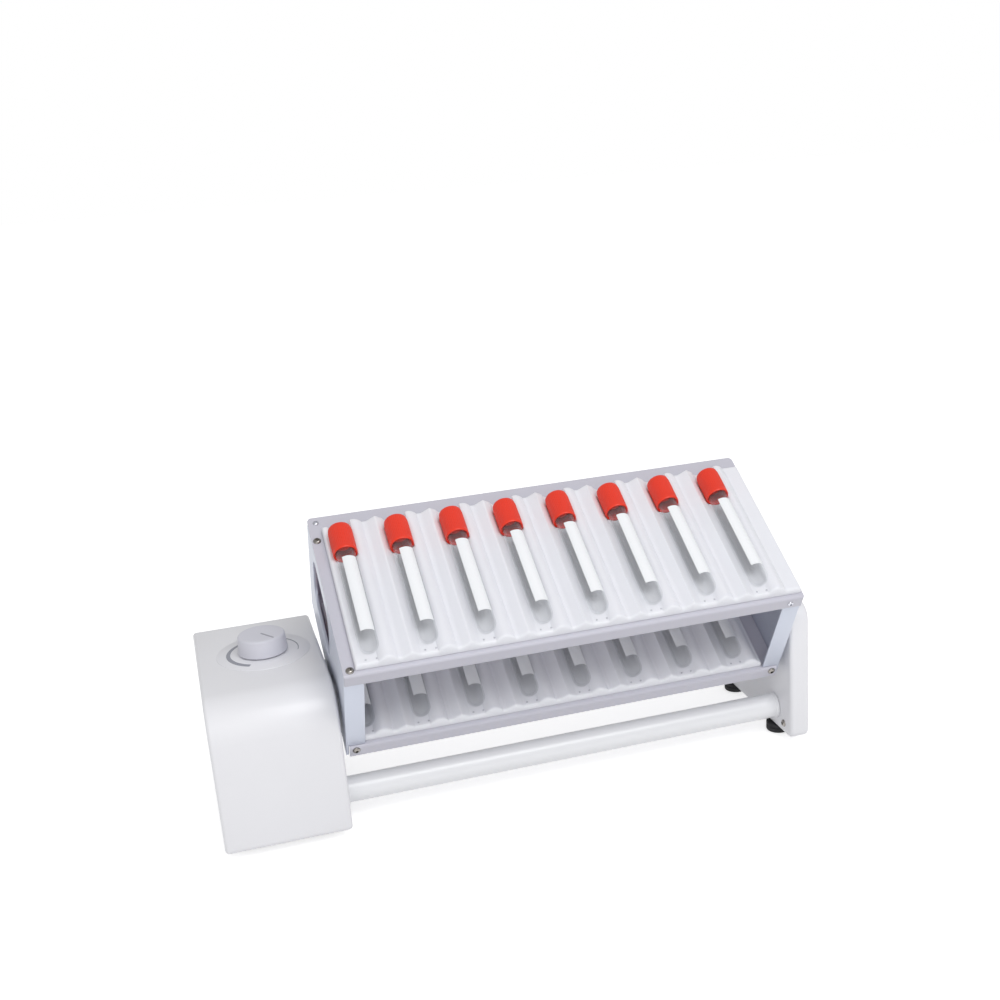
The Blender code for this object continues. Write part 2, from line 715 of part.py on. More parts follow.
def mat_height(x, first_x):
    """Height of the mat between the tubes: low at each tube and midway between two."""
    turns = (x - first_x) / TUBE_PITCH
    wave = (1 - cos(2 * pi * RIDGES_PER_PITCH * turns)) / 2
    return MAT_BASE + RIDGE_HEIGHT * wave


def mat(name, top, shift, left_margin, right_margin):
    """A wavy mat with a channel and a wider cap pocket for each tube."""
    low_x = CARRIAGE_LEFT + left_margin
    high_x = CARRIAGE_RIGHT - right_margin
    steps = round((high_x - low_x) / TUBE_PITCH * MAT_STEPS_PER_PITCH)
    first_x = tube_x(0, shift)
    base = top + GAP
    ridge = [low_x + (high_x - low_x) * i / steps for i in range(steps + 1)]
    outline = [(low_x, base), (high_x, base)]
    outline += [(x, base + mat_height(x, first_x)) for x in reversed(ridge)]
    front = -SHELF_DEPTH / 2 + MAT_FROM_FRONT
    back = SHELF_DEPTH / 2 - MAT_FROM_BACK
    body = slab(name, outline, front, back)
    body.data.transform(Matrix.Rotation(pi / 2, 4, "Z") @ Matrix.Scale(-1, 4, (0, 1, 0)))
    weld(body.data)
    for index in range(TUBE_COUNT):
        pocket = turned(f"{name}_pocket_{index}", pocket_profile(), 20)
        lay_along_shelf(pocket, tube_x(index, shift), top)
        cut(body, pocket)
    return place(body, "mat", CARRIAGE_AXIS)


def lay_along_shelf(obj, x, top):
    """Lay a turned piece on a shelf, its top end towards the back."""
    obj.rotation_euler = (-pi / 2, 0, 0)
    obj.location = (x, CAP_END_Y, top + GAP + TUBE_HEIGHT)


def round_end(radius, centre, steps):
    """Profile points of a ball end that faces down, without its first point."""
    return [
        (radius * cos(pi / 2 * i / steps), centre - radius * sin(pi / 2 * i / steps)) for i in range(1, steps)
    ] + [(0, centre - radius)]


def pocket_profile():
    """The space that a capped tube takes in the mat."""
    cap = CAP_RADIUS + POCKET_CLEARANCE
    tube = TUBE_RADIUS + POCKET_CLEARANCE
    bottom = -CAP_TOP - TUBE_LENGTH
    return [
        (0, CAP_FROM_BACK),
        (cap, CAP_FROM_BACK),
        (cap, -CAP_LENGTH - 2 * POCKET_CLEARANCE),
        (tube, -CAP_LENGTH - 2 * POCKET_CLEARANCE),
        (tube, bottom + TUBE_RADIUS),
    ] + round_end(tube, bottom + TUBE_RADIUS, 4)


def tube(name, x, top):
    """A hollow tube with a round bottom."""
    mouth = -CAP_TOP - GAP
    bottom = -CAP_TOP - TUBE_LENGTH
    centre = bottom + TUBE_RADIUS
    outer = [(TUBE_RADIUS, mouth), (TUBE_RADIUS, centre)] + round_end(TUBE_RADIUS, centre, 4)
    inner = [(0, centre - TUBE_BORE), (TUBE_BORE * cos(pi / 4), centre - TUBE_BORE * sin(pi / 4))]
    profile = outer + inner + [(TUBE_BORE, centre), (TUBE_BORE, mouth), (TUBE_RADIUS, mouth)]
    glass = turned(name, profile, 14)
    lay_along_shelf(glass, x, top)
    return place(glass, "tube", CARRIAGE_AXIS)


def cap(name, x, top):
    """A cap with a skirt outside the tube and a plug inside it."""
    skirt = TUBE_RADIUS + GAP
    plug = TUBE_BORE - GAP
    chamfer = CAP_RADIUS / 8
    profile = [
        (0, 0),
        (CAP_RADIUS - chamfer, 0),
        (CAP_RADIUS, -chamfer),
        (CAP_RADIUS, -CAP_LENGTH),
        (skirt, -CAP_LENGTH),
        (skirt, -CAP_TOP),
        (plug, -CAP_TOP),
        (plug, -CAP_TOP - CAP_PLUG),
        (0, -CAP_TOP - CAP_PLUG),
    ]
    stopper = turned(name, profile, 16)
    lay_along_shelf(stopper, x, top)
    return place(stopper, "cap", CARRIAGE_AXIS)


def empty(name):
    axis = bpy.data.objects.new(name, None)
    bpy.context.scene.collection.objects.link(axis)
    return axis


# --- Assembly ----------------------------------------------------------------------------------
clear_scene()
PARTS = new_collection("tube_rocker")
CUTTERS = new_collection("cutters")
CARRIAGE_AXIS = empty("carriage_axis")
CARRIAGE_AXIS.location = (0, PIVOT_Y, PIVOT_Z)
CARRIAGE_AXIS.rotation_euler = (TILT, 0, 0)
PINION_AXIS = empty("pinion_axis")
KNOB_AXIS = empty("knob_axis")


def build_frame():
    motor_housing()
    base_cover()
    for index, (x, y) in enumerate(foot_places()):
        foot(f"housing_foot_{index + 1}", x, y, FOOT_RADIUS)
    support_plate()
    for index, y in enumerate((BOX_FRONT + PLATE_FOOT_INSET, BOX_BACK - PLATE_FOOT_INSET)):
        foot(f"support_foot_{index + 1}", PLATE_RIGHT - PLATE_FOOT_RADIUS, y, PLATE_FOOT_RADIUS)
    crossbar()
    bush("shaft_bush", BOX_RIGHT - GAP - BUSH_LENGTH, BOX_RIGHT - BOX_WALL - GAP)
    bush("support_bush", PLATE_LEFT - BUSH_FLANGE / 2, PLATE_LEFT - GAP)


def build_drive():
    motor_bracket()
    gear_motor()
    motor_pinion()
    sector_gear()
    drive_shaft()
    stub_axle()


def build_control():
    potentiometer()
    speed_knob()
    circuit_board()
    power_inlet()


def build_carriage():
    end_plate("left_end_plate", CARRIAGE_LEFT, 1)
    end_plate("right_end_plate", CARRIAGE_RIGHT, -1)
    inner_left = CARRIAGE_LEFT + WEB + GAP
    inner_right = CARRIAGE_RIGHT - WEB - GAP
    shelf("upper_shelf", UPPER_TOP, CARRIAGE_LEFT, CARRIAGE_RIGHT)
    shelf("lower_shelf", LOWER_TOP, inner_left, inner_right)
    tiers = (
        ("upper", UPPER_TOP, 0.0, UPPER_MAT_RIGHT),
        ("lower", LOWER_TOP, LOWER_TUBE_SHIFT, LOWER_MAT_RIGHT),
    )
    for tier, top, shift, right_margin in tiers:
        mat(f"{tier}_mat", top, shift, MAT_LEFT + shift, right_margin)
        for index in range(TUBE_COUNT):
            x = tube_x(index, shift)
            tube(f"tube_{tier}_{index + 1}", x, top)
            cap(f"cap_{tier}_{index + 1}", x, top)


build_frame()
build_drive()
build_control()
build_carriage()
bpy.context.view_layer.update()
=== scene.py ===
"""Looks of a two-tier tube rocker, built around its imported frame.

Units are metres and +Z is up. The carriage's own axes have Y from front to back along the shelves
and Z square to them, with their origin on the pivot.
"""

import json
import logging
from collections.abc import Callable, Iterable, Sequence
from dataclasses import dataclass, field
from enum import Enum
from math import cos, pi, radians, sin, sqrt, tau

import bmesh
import bpy
from mathutils import Matrix, Vector

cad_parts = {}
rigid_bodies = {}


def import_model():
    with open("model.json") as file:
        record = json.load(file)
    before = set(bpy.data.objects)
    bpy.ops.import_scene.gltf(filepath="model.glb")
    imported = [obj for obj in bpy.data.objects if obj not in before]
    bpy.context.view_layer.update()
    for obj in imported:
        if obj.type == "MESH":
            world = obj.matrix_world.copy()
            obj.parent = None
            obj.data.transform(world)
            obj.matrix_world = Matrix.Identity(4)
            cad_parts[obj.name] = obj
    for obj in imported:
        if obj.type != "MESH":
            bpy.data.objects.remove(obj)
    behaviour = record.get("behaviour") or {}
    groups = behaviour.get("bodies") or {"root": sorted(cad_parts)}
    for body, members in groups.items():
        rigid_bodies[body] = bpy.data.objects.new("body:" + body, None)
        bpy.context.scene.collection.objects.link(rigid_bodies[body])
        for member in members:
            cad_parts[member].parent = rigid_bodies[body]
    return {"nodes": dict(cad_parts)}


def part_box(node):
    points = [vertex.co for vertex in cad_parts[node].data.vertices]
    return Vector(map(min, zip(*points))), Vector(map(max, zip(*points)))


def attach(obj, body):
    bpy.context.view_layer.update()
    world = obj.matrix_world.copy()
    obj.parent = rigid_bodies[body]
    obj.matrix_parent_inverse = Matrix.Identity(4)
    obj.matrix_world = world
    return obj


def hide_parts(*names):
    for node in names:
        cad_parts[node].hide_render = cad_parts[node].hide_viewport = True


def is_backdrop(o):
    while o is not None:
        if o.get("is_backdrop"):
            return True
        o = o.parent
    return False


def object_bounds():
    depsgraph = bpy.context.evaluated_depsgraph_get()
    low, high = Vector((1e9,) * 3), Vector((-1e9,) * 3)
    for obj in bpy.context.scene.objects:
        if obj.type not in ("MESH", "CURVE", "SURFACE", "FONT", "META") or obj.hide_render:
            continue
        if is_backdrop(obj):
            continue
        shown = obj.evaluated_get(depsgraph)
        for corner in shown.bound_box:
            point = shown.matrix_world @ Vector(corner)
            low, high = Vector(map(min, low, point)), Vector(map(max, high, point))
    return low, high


LOG = logging.getLogger("tube_rocker")
Object = bpy.types.Object
Point = Sequence[float]
Pair = tuple[float, float]
Quad = tuple[float, float, float, float]
Box = tuple[Vector, Vector]
Profile = list[Pair]
SHARP = 35.0  # degrees past which an edge stays sharp
TIERS = ("upper", "lower")
TUBE_NUMBERS = range(1, 9)


# --- Mesh tools ------------
def smoothed(mesh: bpy.types.Mesh, sharp: float = SHARP) -> None:
    """Shade a mesh smooth, but for the edges past an angle in degrees."""
    mesh.shade_smooth()
    mesh.set_sharp_from_angle(angle=radians(sharp))


def new_object(name: str, bm: bmesh.types.BMesh, sharp: float = SHARP) -> Object:
    """Turn a finished bmesh into a linked object with smooth shading.

    Args:
        name: the object's name.
        bm: the geometry; it is freed here.
        sharp: the angle in degrees past which an edge stays sharp.

    Returns:
        The new object, at the origin.
    """
    mesh = bpy.data.meshes.new(name)
    bm.to_mesh(mesh)
    bm.free()
    smoothed(mesh, sharp)
    obj = bpy.data.objects.new(name, mesh)
    bpy.context.scene.collection.objects.link(obj)
    return obj


def ringed(name: str, rings: Sequence[Sequence[Point]], loop: bool = False) -> Object:
    """Join rings of points into one closed skin.

    Args:
        name: the object's name.
        rings: rings with the same number of points, or a single point for a pole.
        loop: whether the last ring joins the first, instead of both being closed.

    Returns:
        The new object.
    """
    bm = bmesh.new()
    made = [[bm.verts.new(point) for point in ring] for ring in rings]
    pairs = list(zip(made, made[1:])) + ([(made[-1], made[0])] if loop else [])
    for low, high in pairs:
        count = max(len(low), len(high))
        for i in range(count):
            j = (i + 1) % count
            corners = (low[i % len(low)], low[j % len(low)], high[j % len(high)], high[i % len(high)])
            bm.faces.new(dict.fromkeys(corners))
    if not loop:
        for end in (made[0], made[-1]):
            if len(end) > 2:
                bm.faces.new(end)
    bmesh.ops.recalc_face_normals(bm, faces=bm.faces)
    return new_object(name, bm)


def turned(
    name: str,
    profile: Profile,
    sides: int = 64,
    shape: Callable[[float, int], float] | None = None,
    loop: bool = False,
) -> Object:
    """Turn a profile of radius and height round Z.

    Args:
        name: the object's name.
        profile: radius and height of each ring; a zero radius is a pole.
        sides: points on each ring.
        shape: a factor on the radius from the angle and the ring's number.
        loop: whether the profile is a closed loop clear of the axis.

    Returns:
        The new object, on the Z axis.
    """
    rings = []
    for number, (radius, height) in enumerate(profile):
        if radius == 0:
            rings.append([(0, 0, height)])
            continue
        ring = []
        for side in range(sides):
            angle = tau * side / sides
            reach = radius * (shape(angle, number) if shape else 1)
            ring.append((reach * cos(angle), reach * sin(angle), height))
        rings.append(ring)
    return ringed(name, rings, loop)


def corner(cy: float, cz: float, radius: float, start: float, end: float, steps: int = 8) -> Profile:
    """Points of an arc about a centre, its angles in degrees."""
    angles = [radians(start + (end - start) * i / steps) for i in range(steps + 1)]
    return [(cy + radius * cos(a), cz + radius * sin(a)) for a in angles]


def over(low: Vector, high: Vector, height: float) -> Matrix:
    """The place in the middle of a box, seen from above, at a height."""
    return Matrix.Translation(((low.x + high.x) / 2, (low.y + high.y) / 2, height))


def placed(obj: Object, matrix: Matrix) -> Object:
    """Move an object's mesh, and leave the object at the origin."""
    obj.data.transform(matrix)
    return obj


def applied(obj: Object) -> Object:
    """Turn an object's modifiers into plain mesh."""
    evaluated = obj.evaluated_get(bpy.context.evaluated_depsgraph_get())
    mesh = bpy.data.meshes.new_from_object(evaluated)
    old, obj.data = obj.data, mesh
    obj.modifiers.clear()
    bpy.data.meshes.remove(old)
    return obj


def trimmed(obj: Object, cutter: Object) -> Object:
    """Keep only what lies inside a cutter, which is removed."""
    modifier = obj.modifiers.new("trim", "BOOLEAN")
    modifier.operation = "INTERSECT"
    modifier.object = cutter
    applied(obj)
    bpy.data.objects.remove(cutter)
    smoothed(obj.data)
    return obj


# --- Shader tools ------------
class Signal:
    """A socket whose arithmetic adds Math nodes to its material."""

    def __init__(self, graph: "Graph", socket: bpy.types.NodeSocket) -> None:
        """Hold a socket and the graph that it belongs to."""
        self.graph = graph
        self.socket = socket

    def _math(self, operation: str, first: object, second: object) -> "Signal":
        """Add a Math node on two values or signals."""
        return self.graph.add("ShaderNodeMath", {"operation": operation}, {0: first, 1: second})

    def __add__(self, other: object) -> "Signal":
        """Add."""
        return self._math("ADD", self, other)

    __radd__ = __add__

    def __mul__(self, other: object) -> "Signal":
        """Multiply."""
        return self._math("MULTIPLY", self, other)

    __rmul__ = __mul__

    def __pow__(self, other: object) -> "Signal":
        """Raise to a power."""
        return self._math("POWER", self, other)

    def larger(self, other: object) -> "Signal":
        """Take the larger of two."""
        return self._math("MAXIMUM", self, other)


class Graph:
    """A material's node tree, with one way to add any node."""

    def __init__(self, name: str) -> None:
        """Make an empty material."""
        self.material = bpy.data.materials.new(name)
        self.material.use_nodes = True
        self.tree = self.material.node_tree
        self.tree.nodes.clear()

    def add(
        self, kind: str, settings: dict | None = None, values: dict | None = None, out: object = 0
    ) -> Signal:
        """Add a node.

        Args:
            kind: the node's type.
            settings: the node's own properties, set first.
            values: sockets by name or number, each a plain value or a signal.
            out: which output the signal reads.

        Returns:
            The node's output as a signal.
        """
        node = self.tree.nodes.new(kind)
        for key, value in (settings or {}).items():
            setattr(node, key, value)
        for key, value in (values or {}).items():
            if isinstance(value, Signal):
                self.tree.links.new(value.socket, node.inputs[key])
            else:
                node.inputs[key].default_value = value
        return Signal(self, node.outputs[out])

    def end(self, shader: Signal) -> bpy.types.Material:
        """Link a shader to the output."""
        output = self.tree.nodes.new("ShaderNodeOutputMaterial")
        self.tree.links.new(shader.socket, output.inputs["Surface"])
        return self.material


def linear(*levels: int) -> Quad:
    """A colour from its 8-bit screen levels."""
    shares = [level / 255 for level in levels]
    return tuple(s / 12.92 if s < 0.0405 else ((s + 0.055) / 1.055) ** 2.4 for s in shares) + (1.0,)


class Surface(Enum):
    """How a finish is made, which sets its grain."""

    ENAMEL = "sprayed and baked paint"
    MOULDED = "moulded plastic"
    SILICONE = "soft cast mat"
    RUBBER = "rubber"
    METAL = "machined metal"
    PAPER = "paper"
    CLEAR = "clear plastic"


@dataclass(frozen=True)
class Finish:
    """One finish, with the amounts that its grain and shade vary."""

    METAL_STRETCH = (0.06, 1.0, 1.0)
    PAPER_DETAIL = 5.0
    PLAIN_DETAIL = 2.0
    CLOUD_SCALE = 22.0
    CLOUD_DETAIL = 4.0
    CLOUD_SHARE = 0.7
    FINE_SHARE = 0.3
    ROUGHNESS_SPREAD = 0.14
    BUMP_STRENGTH = 0.5
    COAT_ROUGHNESS = 0.2
    CLEAR_BLEND = 0.45
    CLEAR_POWER = 3.0
    CLEAR_RIM = 0.30  # added to the alpha where the surface is seen edge on
    CLEAR_FACE = 0.035
    SOFT_WEIGHT = 0.3
    SOFT_DEPTH = 0.003

    name: str
    colour: Quad
    surface: Surface
    roughness: float = 0.42
    metallic: float = 0.0
    coat: float = 0.0
    shade: float = 0.05
    grain: float = 900.0
    depth: float = 0.00002

    def coordinates(self, graph: Graph) -> Signal:
        """Object coordinates, drawn out along X on metal."""
        place = graph.add("ShaderNodeTexCoord", out="Object")
        if self.surface is Surface.METAL:
            return graph.add("ShaderNodeMapping", None, {"Vector": place, "Scale": self.METAL_STRETCH})
        return place

    def pattern(self, graph: Graph, place: Signal) -> Signal:
        """The fine relief of the surface."""
        if self.surface in (Surface.RUBBER, Surface.SILICONE):
            values = {"Vector": place, "Scale": self.grain}
            return graph.add("ShaderNodeTexVoronoi", {"feature": "F1"}, values)
        detail = self.PAPER_DETAIL if self.surface is Surface.PAPER else self.PLAIN_DETAIL
        return graph.add("ShaderNodeTexNoise", None, {"Vector": place, "Scale": self.grain, "Detail": detail})

    def build(self) -> bpy.types.Material:
        """Make the material.

        Returns:
            The material, patterned on object coordinates.
        """
        graph = Graph(self.name)
        place = self.coordinates(graph)
        wide = {"Vector": place, "Scale": self.CLOUD_SCALE, "Detail": self.CLOUD_DETAIL}
        clouds = graph.add("ShaderNodeTexNoise", None, wide)
        fine = self.pattern(graph, place)
        dark = tuple(c * (1 - self.shade) for c in self.colour[:3]) + (1.0,)
        light = tuple(min(1, c * (1 + self.shade)) for c in self.colour[:3]) + (1.0,)
        factor = clouds * self.CLOUD_SHARE + fine * self.FINE_SHARE
        mix = graph.add("ShaderNodeMix", {"data_type": "RGBA"}, {0: factor, 6: dark, 7: light}, 2)
        relief = {"Strength": self.BUMP_STRENGTH, "Distance": self.depth, "Height": fine}
        bump = graph.add("ShaderNodeBump", None, relief)
        values = {
            "Base Color": mix,
            "Roughness": clouds * self.ROUGHNESS_SPREAD + (self.roughness - self.ROUGHNESS_SPREAD / 2),
            "Normal": bump,
            "Metallic": self.metallic,
            "Coat Weight": self.coat,
            "Coat Roughness": self.COAT_ROUGHNESS,
        }
        if self.surface is Surface.CLEAR:
            facing = graph.add("ShaderNodeLayerWeight", None, {"Blend": self.CLEAR_BLEND}, "Facing")
            values["Alpha"] = facing**self.CLEAR_POWER * self.CLEAR_RIM + self.CLEAR_FACE
        if self.surface is Surface.SILICONE:
            values["Subsurface Weight"] = self.SOFT_WEIGHT
            values["Subsurface Radius"] = (1.0, 1.0, 1.0)
            values["Subsurface Scale"] = self.SOFT_DEPTH
        return graph.end(graph.add("ShaderNodeBsdfPrincipled", None, values))


class Palette:
    """Every finish of the machine, each built once."""

    FINISHES = (
        Finish("white_enamel", linear(232, 232, 236), Surface.ENAMEL, 0.38, coat=0.25, shade=0.02),
        Finish("bar_enamel", linear(236, 237, 240), Surface.ENAMEL, 0.30, coat=0.35, shade=0.02),
        Finish("shelf_enamel", linear(196, 195, 206), Surface.ENAMEL, 0.40, coat=0.15, shade=0.035),
        Finish("end_plate_enamel", linear(204, 209, 222), Surface.ENAMEL, 0.36, 0.35, shade=0.03),
        Finish("silicone", linear(232, 233, 239), Surface.SILICONE, 0.36, shade=0.03, grain=1500),
        Finish("clear_plastic", linear(232, 238, 244), Surface.CLEAR, 0.12, shade=0.02, depth=0.000004),
        Finish("label_paper", linear(241, 243, 246), Surface.PAPER, 0.62, shade=0.03, grain=2600),
        Finish("red_cap", linear(233, 52, 25), Surface.MOULDED, 0.42, shade=0.06, grain=1400),
        Finish("knob_plastic", linear(210, 210, 219), Surface.MOULDED, 0.44, shade=0.03, grain=2200),
        Finish("dial_print", linear(150, 152, 162), Surface.PAPER, 0.5, shade=0.06, grain=1800),
        Finish("dial_film", linear(229, 229, 234), Surface.MOULDED, 0.34, shade=0.02, grain=1600),
        Finish("pointer_print", linear(158, 158, 168), Surface.PAPER, 0.5, shade=0.06, grain=1800),
        Finish(
            "foot_rubber", linear(34, 34, 37), Surface.RUBBER, 0.72, shade=0.18, grain=1300, depth=0.00006
        ),
        Finish("steel", linear(176, 178, 182), Surface.METAL, 0.30, 1.0, shade=0.08, grain=1500),
        # A darker copy of the steel for the socket screws: its colour is painted shade.
        Finish("screw_steel_painted_shade", linear(150, 146, 142), Surface.METAL, 0.26, 1.0, shade=0.14, grain=1500),
        # A lighter copy of the steel for the dome screws and the rivets: its colour is painted highlight.
        Finish("screw_steel_painted_highlight", linear(206, 207, 214), Surface.METAL, 0.28, 1.0, shade=0.06, grain=1500),
        Finish("motor_steel", linear(146, 148, 152), Surface.METAL, 0.36, 1.0, shade=0.1, grain=900),
        Finish("bronze", linear(176, 132, 82), Surface.METAL, 0.40, 1.0, shade=0.1, grain=1200),
        Finish("gear_plastic", linear(228, 222, 204), Surface.MOULDED, 0.46, shade=0.04, grain=1200),
        Finish("board_green", linear(32, 92, 60), Surface.MOULDED, 0.40, shade=0.16, grain=700),
        Finish("black_plastic", linear(30, 30, 33), Surface.MOULDED, 0.40, shade=0.12, grain=1300),
    )

    def __init__(self) -> None:
        """Build the materials."""
        self.materials = {finish.name: finish.build() for finish in self.FINISHES}

    def __getitem__(self, name: str) -> bpy.types.Material:
        """The material of a finish."""
        return self.materials[name]


# --- The frame ------------
@dataclass
class Frame:
    """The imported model, the carriage's own axes, and what dresses a piece."""

    WELD = 0.00001
    ON_FACE = 0.00002
    FLAT_ANGLE = radians(1)
    RIM_ANGLE = radians(60)
    RIM_SEGMENTS = 5
    CREASE_ANGLE = radians(40)
    CREASE_SEGMENTS = 2

    tilt: float = radians(30)
    nodes: dict[str, Object] = field(init=False)
    carriage: Matrix = field(init=False)
    palette: Palette = field(init=False)
    cad_bounds: Box = field(init=False)

    def __post_init__(self) -> None:
        """Load the model and find the pivot at the middle of the stub axle."""
        self.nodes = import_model()["nodes"]
        self.cad_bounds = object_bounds()
        low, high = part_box("stub_axle")
        middle = (low + high) / 2
        self.carriage = Matrix.Translation((0, middle.y, middle.z)) @ Matrix.Rotation(self.tilt, 4, "X")
        self.palette = Palette()

    def local_box(self, node: str) -> Box:
        """The box of a node in the carriage's own axes.

        Args:
            node: the node's name.

        Returns:
            Its lowest and highest corners.
        """
        inverse = self.carriage.inverted()
        points = [inverse @ vertex.co for vertex in self.nodes[node].data.vertices]
        low = Vector(min(point[axis] for point in points) for axis in range(3))
        high = Vector(max(point[axis] for point in points) for axis in range(3))
        return low, high

    def fit(
        self, obj: Object, body: str, finish: str, nodes: Iterable[str] = (), slot: str | None = None
    ) -> Object:
        """Dress a piece and make it ride on a body.

        Args:
            obj: the piece, finished and in place.
            body: the body that carries it.
            finish: the palette's name for its finish.
            nodes: the nodes that it stands for.
            slot: not used.

        Returns:
            The piece.
        """
        obj.data.materials.clear()
        obj.data.materials.append(self.palette[finish])
        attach(obj, body)
        if nodes:
            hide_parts(*nodes)
        LOG.info("%s rides on %s in %s", obj.name, body, finish)
        return obj

    def dress(self, node: str, finish: str) -> None:
        """Give a node that stays its finish."""
        for slot in self.nodes[node].material_slots:
            slot.material = self.palette[finish]
        LOG.info("%s is dressed in %s", node, finish)

    def refined(self, node: str, name: str, rim: float = 0.0, crease: float = 0.0) -> Object:
        """Copy a node with its rims and creases rounded.

        Args:
            node: the node that is copied.
            name: the new piece's name.
            rim: the rounding of the edges at its left and right faces.
            crease: the rounding of every other sharp edge.

        Returns:
            The new piece.
        """
        source = self.nodes[node].data
        low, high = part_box(node)
        bm = bmesh.new()
        corners = [bm.verts.new(vertex.co) for vertex in source.vertices]
        for polygon in source.polygons:
            bm.faces.new([corners[i] for i in polygon.vertices])
        bmesh.ops.remove_doubles(bm, verts=bm.verts, dist=self.WELD)
        bmesh.ops.dissolve_limit(bm, angle_limit=self.FLAT_ANGLE, verts=bm.verts, edges=bm.edges)
        if rim:
            ends = (low.x, high.x)
            edges = [
                edge
                for edge in bm.edges
                if len(edge.link_faces) == 2
                and edge.calc_face_angle() > self.RIM_ANGLE
                and any(all(abs(v.co.x - end) < self.ON_FACE for v in edge.verts) for end in ends)
                and self._outer(edge, low, high)
            ]
            count = self.RIM_SEGMENTS
            bmesh.ops.bevel(bm, geom=edges, offset=rim, segments=count, profile=0.5, affect="EDGES")
        obj = new_object(name, bm)
        if crease:
            modifier = obj.modifiers.new("crease", "BEVEL")
            modifier.width = crease
            modifier.segments = self.CREASE_SEGMENTS
            modifier.limit_method = "ANGLE"
            modifier.angle_limit = self.CREASE_ANGLE
            modifier.use_clamp_overlap = True
            applied(obj)
            smoothed(obj.data)
        return obj

    @staticmethod
    def _outer(edge: bmesh.types.BMEdge, low: Vector, high: Vector) -> bool:
        """Whether an edge lies on the rim of the end face, and not round a hole in it."""
        middle = (low + high) / 2
        outward = (edge.verts[0].co + edge.verts[1].co) / 2 - middle
        outward.x = 0
        side = next((f.normal for f in edge.link_faces if abs(f.normal.x) < 0.5), Vector((0, 0, 0)))
        return side.dot(outward) > 0


# --- Fasteners ------------
@dataclass(frozen=True)
class Head:
    """Where a screw or rivet head sits, and which way it faces."""

    place: Vector
    turn: tuple[float, float, float]


@dataclass
class Fasteners:
    """Screw and rivet heads, set on points by a node tree. A head's sizes are shares of its radius."""

    DOME = ((0, -0.3), (1.0, -0.3), (1.0, 0.08), (0.96, 0.2), (0.8, 0.4), (0.6, 0.5))

    frame: Frame
    sides: int = 24
    rise: float = 0.55
    crown_share: float = 0.3
    crown: float = 0.02
    socket_share: float = 0.46
    socket_floor: float = 0.1
    socket_point: float = 0.05

    def head(self, socket: bool) -> Object:
        """A domed head of unit radius, with a six-sided socket or plain.

        Args:
            socket: whether the head has a socket.

        Returns:
            The head, facing +Z.
        """
        dome: Profile = list(self.DOME)
        if not socket:
            crown = [(self.crown_share, self.rise), (0, self.rise + self.crown)]
            return turned("plain_head", dome + crown, self.sides)
        share = self.socket_share
        inner = len(dome)

        def shape(angle: float, number: int) -> float:
            """Draw the socket's rings in to a hexagon."""
            if number < inner:
                return 1
            return cos(pi / 6) / cos((angle % (pi / 3)) - pi / 6)

        hole = [(share, self.rise), (share, self.socket_floor), (0, self.socket_point)]
        return turned("socket_head", dome + hole, self.sides, shape)

    @staticmethod
    def tree() -> bpy.types.GeometryNodeTree:
        """A tree that sets a head on each point, turned by the point's own attribute."""
        tree = bpy.data.node_groups.new("heads_on_points", "GeometryNodeTree")
        for name, kind in (
            ("Points", "NodeSocketGeometry"),
            ("Head", "NodeSocketObject"),
            ("Radius", "NodeSocketFloat"),
            ("Finish", "NodeSocketMaterial"),
        ):
            tree.interface.new_socket(name, in_out="INPUT", socket_type=kind)
        tree.interface.new_socket("Heads", in_out="OUTPUT", socket_type="NodeSocketGeometry")
        given = tree.nodes.new("NodeGroupInput")
        shown = tree.nodes.new("NodeGroupOutput")
        info = tree.nodes.new("GeometryNodeObjectInfo")
        turn = tree.nodes.new("GeometryNodeInputNamedAttribute")
        turn.data_type = "FLOAT_VECTOR"
        turn.inputs["Name"].default_value = "turn"
        rotation = tree.nodes.new("FunctionNodeEulerToRotation")
        instance = tree.nodes.new("GeometryNodeInstanceOnPoints")
        realize = tree.nodes.new("GeometryNodeRealizeInstances")
        paint = tree.nodes.new("GeometryNodeSetMaterial")
        for start, end in (
            (given.outputs["Points"], instance.inputs["Points"]),
            (given.outputs["Head"], info.inputs["Object"]),
            (info.outputs["Geometry"], instance.inputs["Instance"]),
            (turn.outputs["Attribute"], rotation.inputs[0]),
            (rotation.outputs[0], instance.inputs["Rotation"]),
            (given.outputs["Radius"], instance.inputs["Scale"]),
            (instance.outputs["Instances"], realize.inputs["Geometry"]),
            (realize.outputs["Geometry"], paint.inputs["Geometry"]),
            (given.outputs["Finish"], paint.inputs["Material"]),
            (paint.outputs["Geometry"], shown.inputs["Heads"]),
        ):
            tree.links.new(start, end)
        return tree

    def set(
        self, name: str, body: str, finish: str, radius: float, heads: list[Head], socket: bool = True
    ) -> None:
        """Set heads on a body as one piece.

        Args:
            name: the piece's name.
            body: the body that carries them.
            finish: the palette's name for their finish.
            radius: the heads' radius.
            heads: their places and turns.
            socket: whether they have sockets.
        """
        mesh = bpy.data.meshes.new(name)
        mesh.from_pydata([head.place for head in heads], [], [])
        turns = mesh.attributes.new("turn", "FLOAT_VECTOR", "POINT")
        turns.data.foreach_set("vector", [value for head in heads for value in head.turn])
        obj = bpy.data.objects.new(name, mesh)
        bpy.context.scene.collection.objects.link(obj)
        template = self.head(socket)
        tree = self.tree()
        modifier = obj.modifiers.new("heads", "NODES")
        modifier.node_group = tree
        given = {"Head": template, "Radius": radius, "Finish": self.frame.palette[finish]}
        for item in tree.interface.items_tree:
            if item.in_out == "INPUT" and item.name in given:
                modifier[item.identifier] = given[item.name]
        applied(obj)
        bpy.data.objects.remove(template)
        smoothed(obj.data)
        self.frame.fit(obj, body, finish)


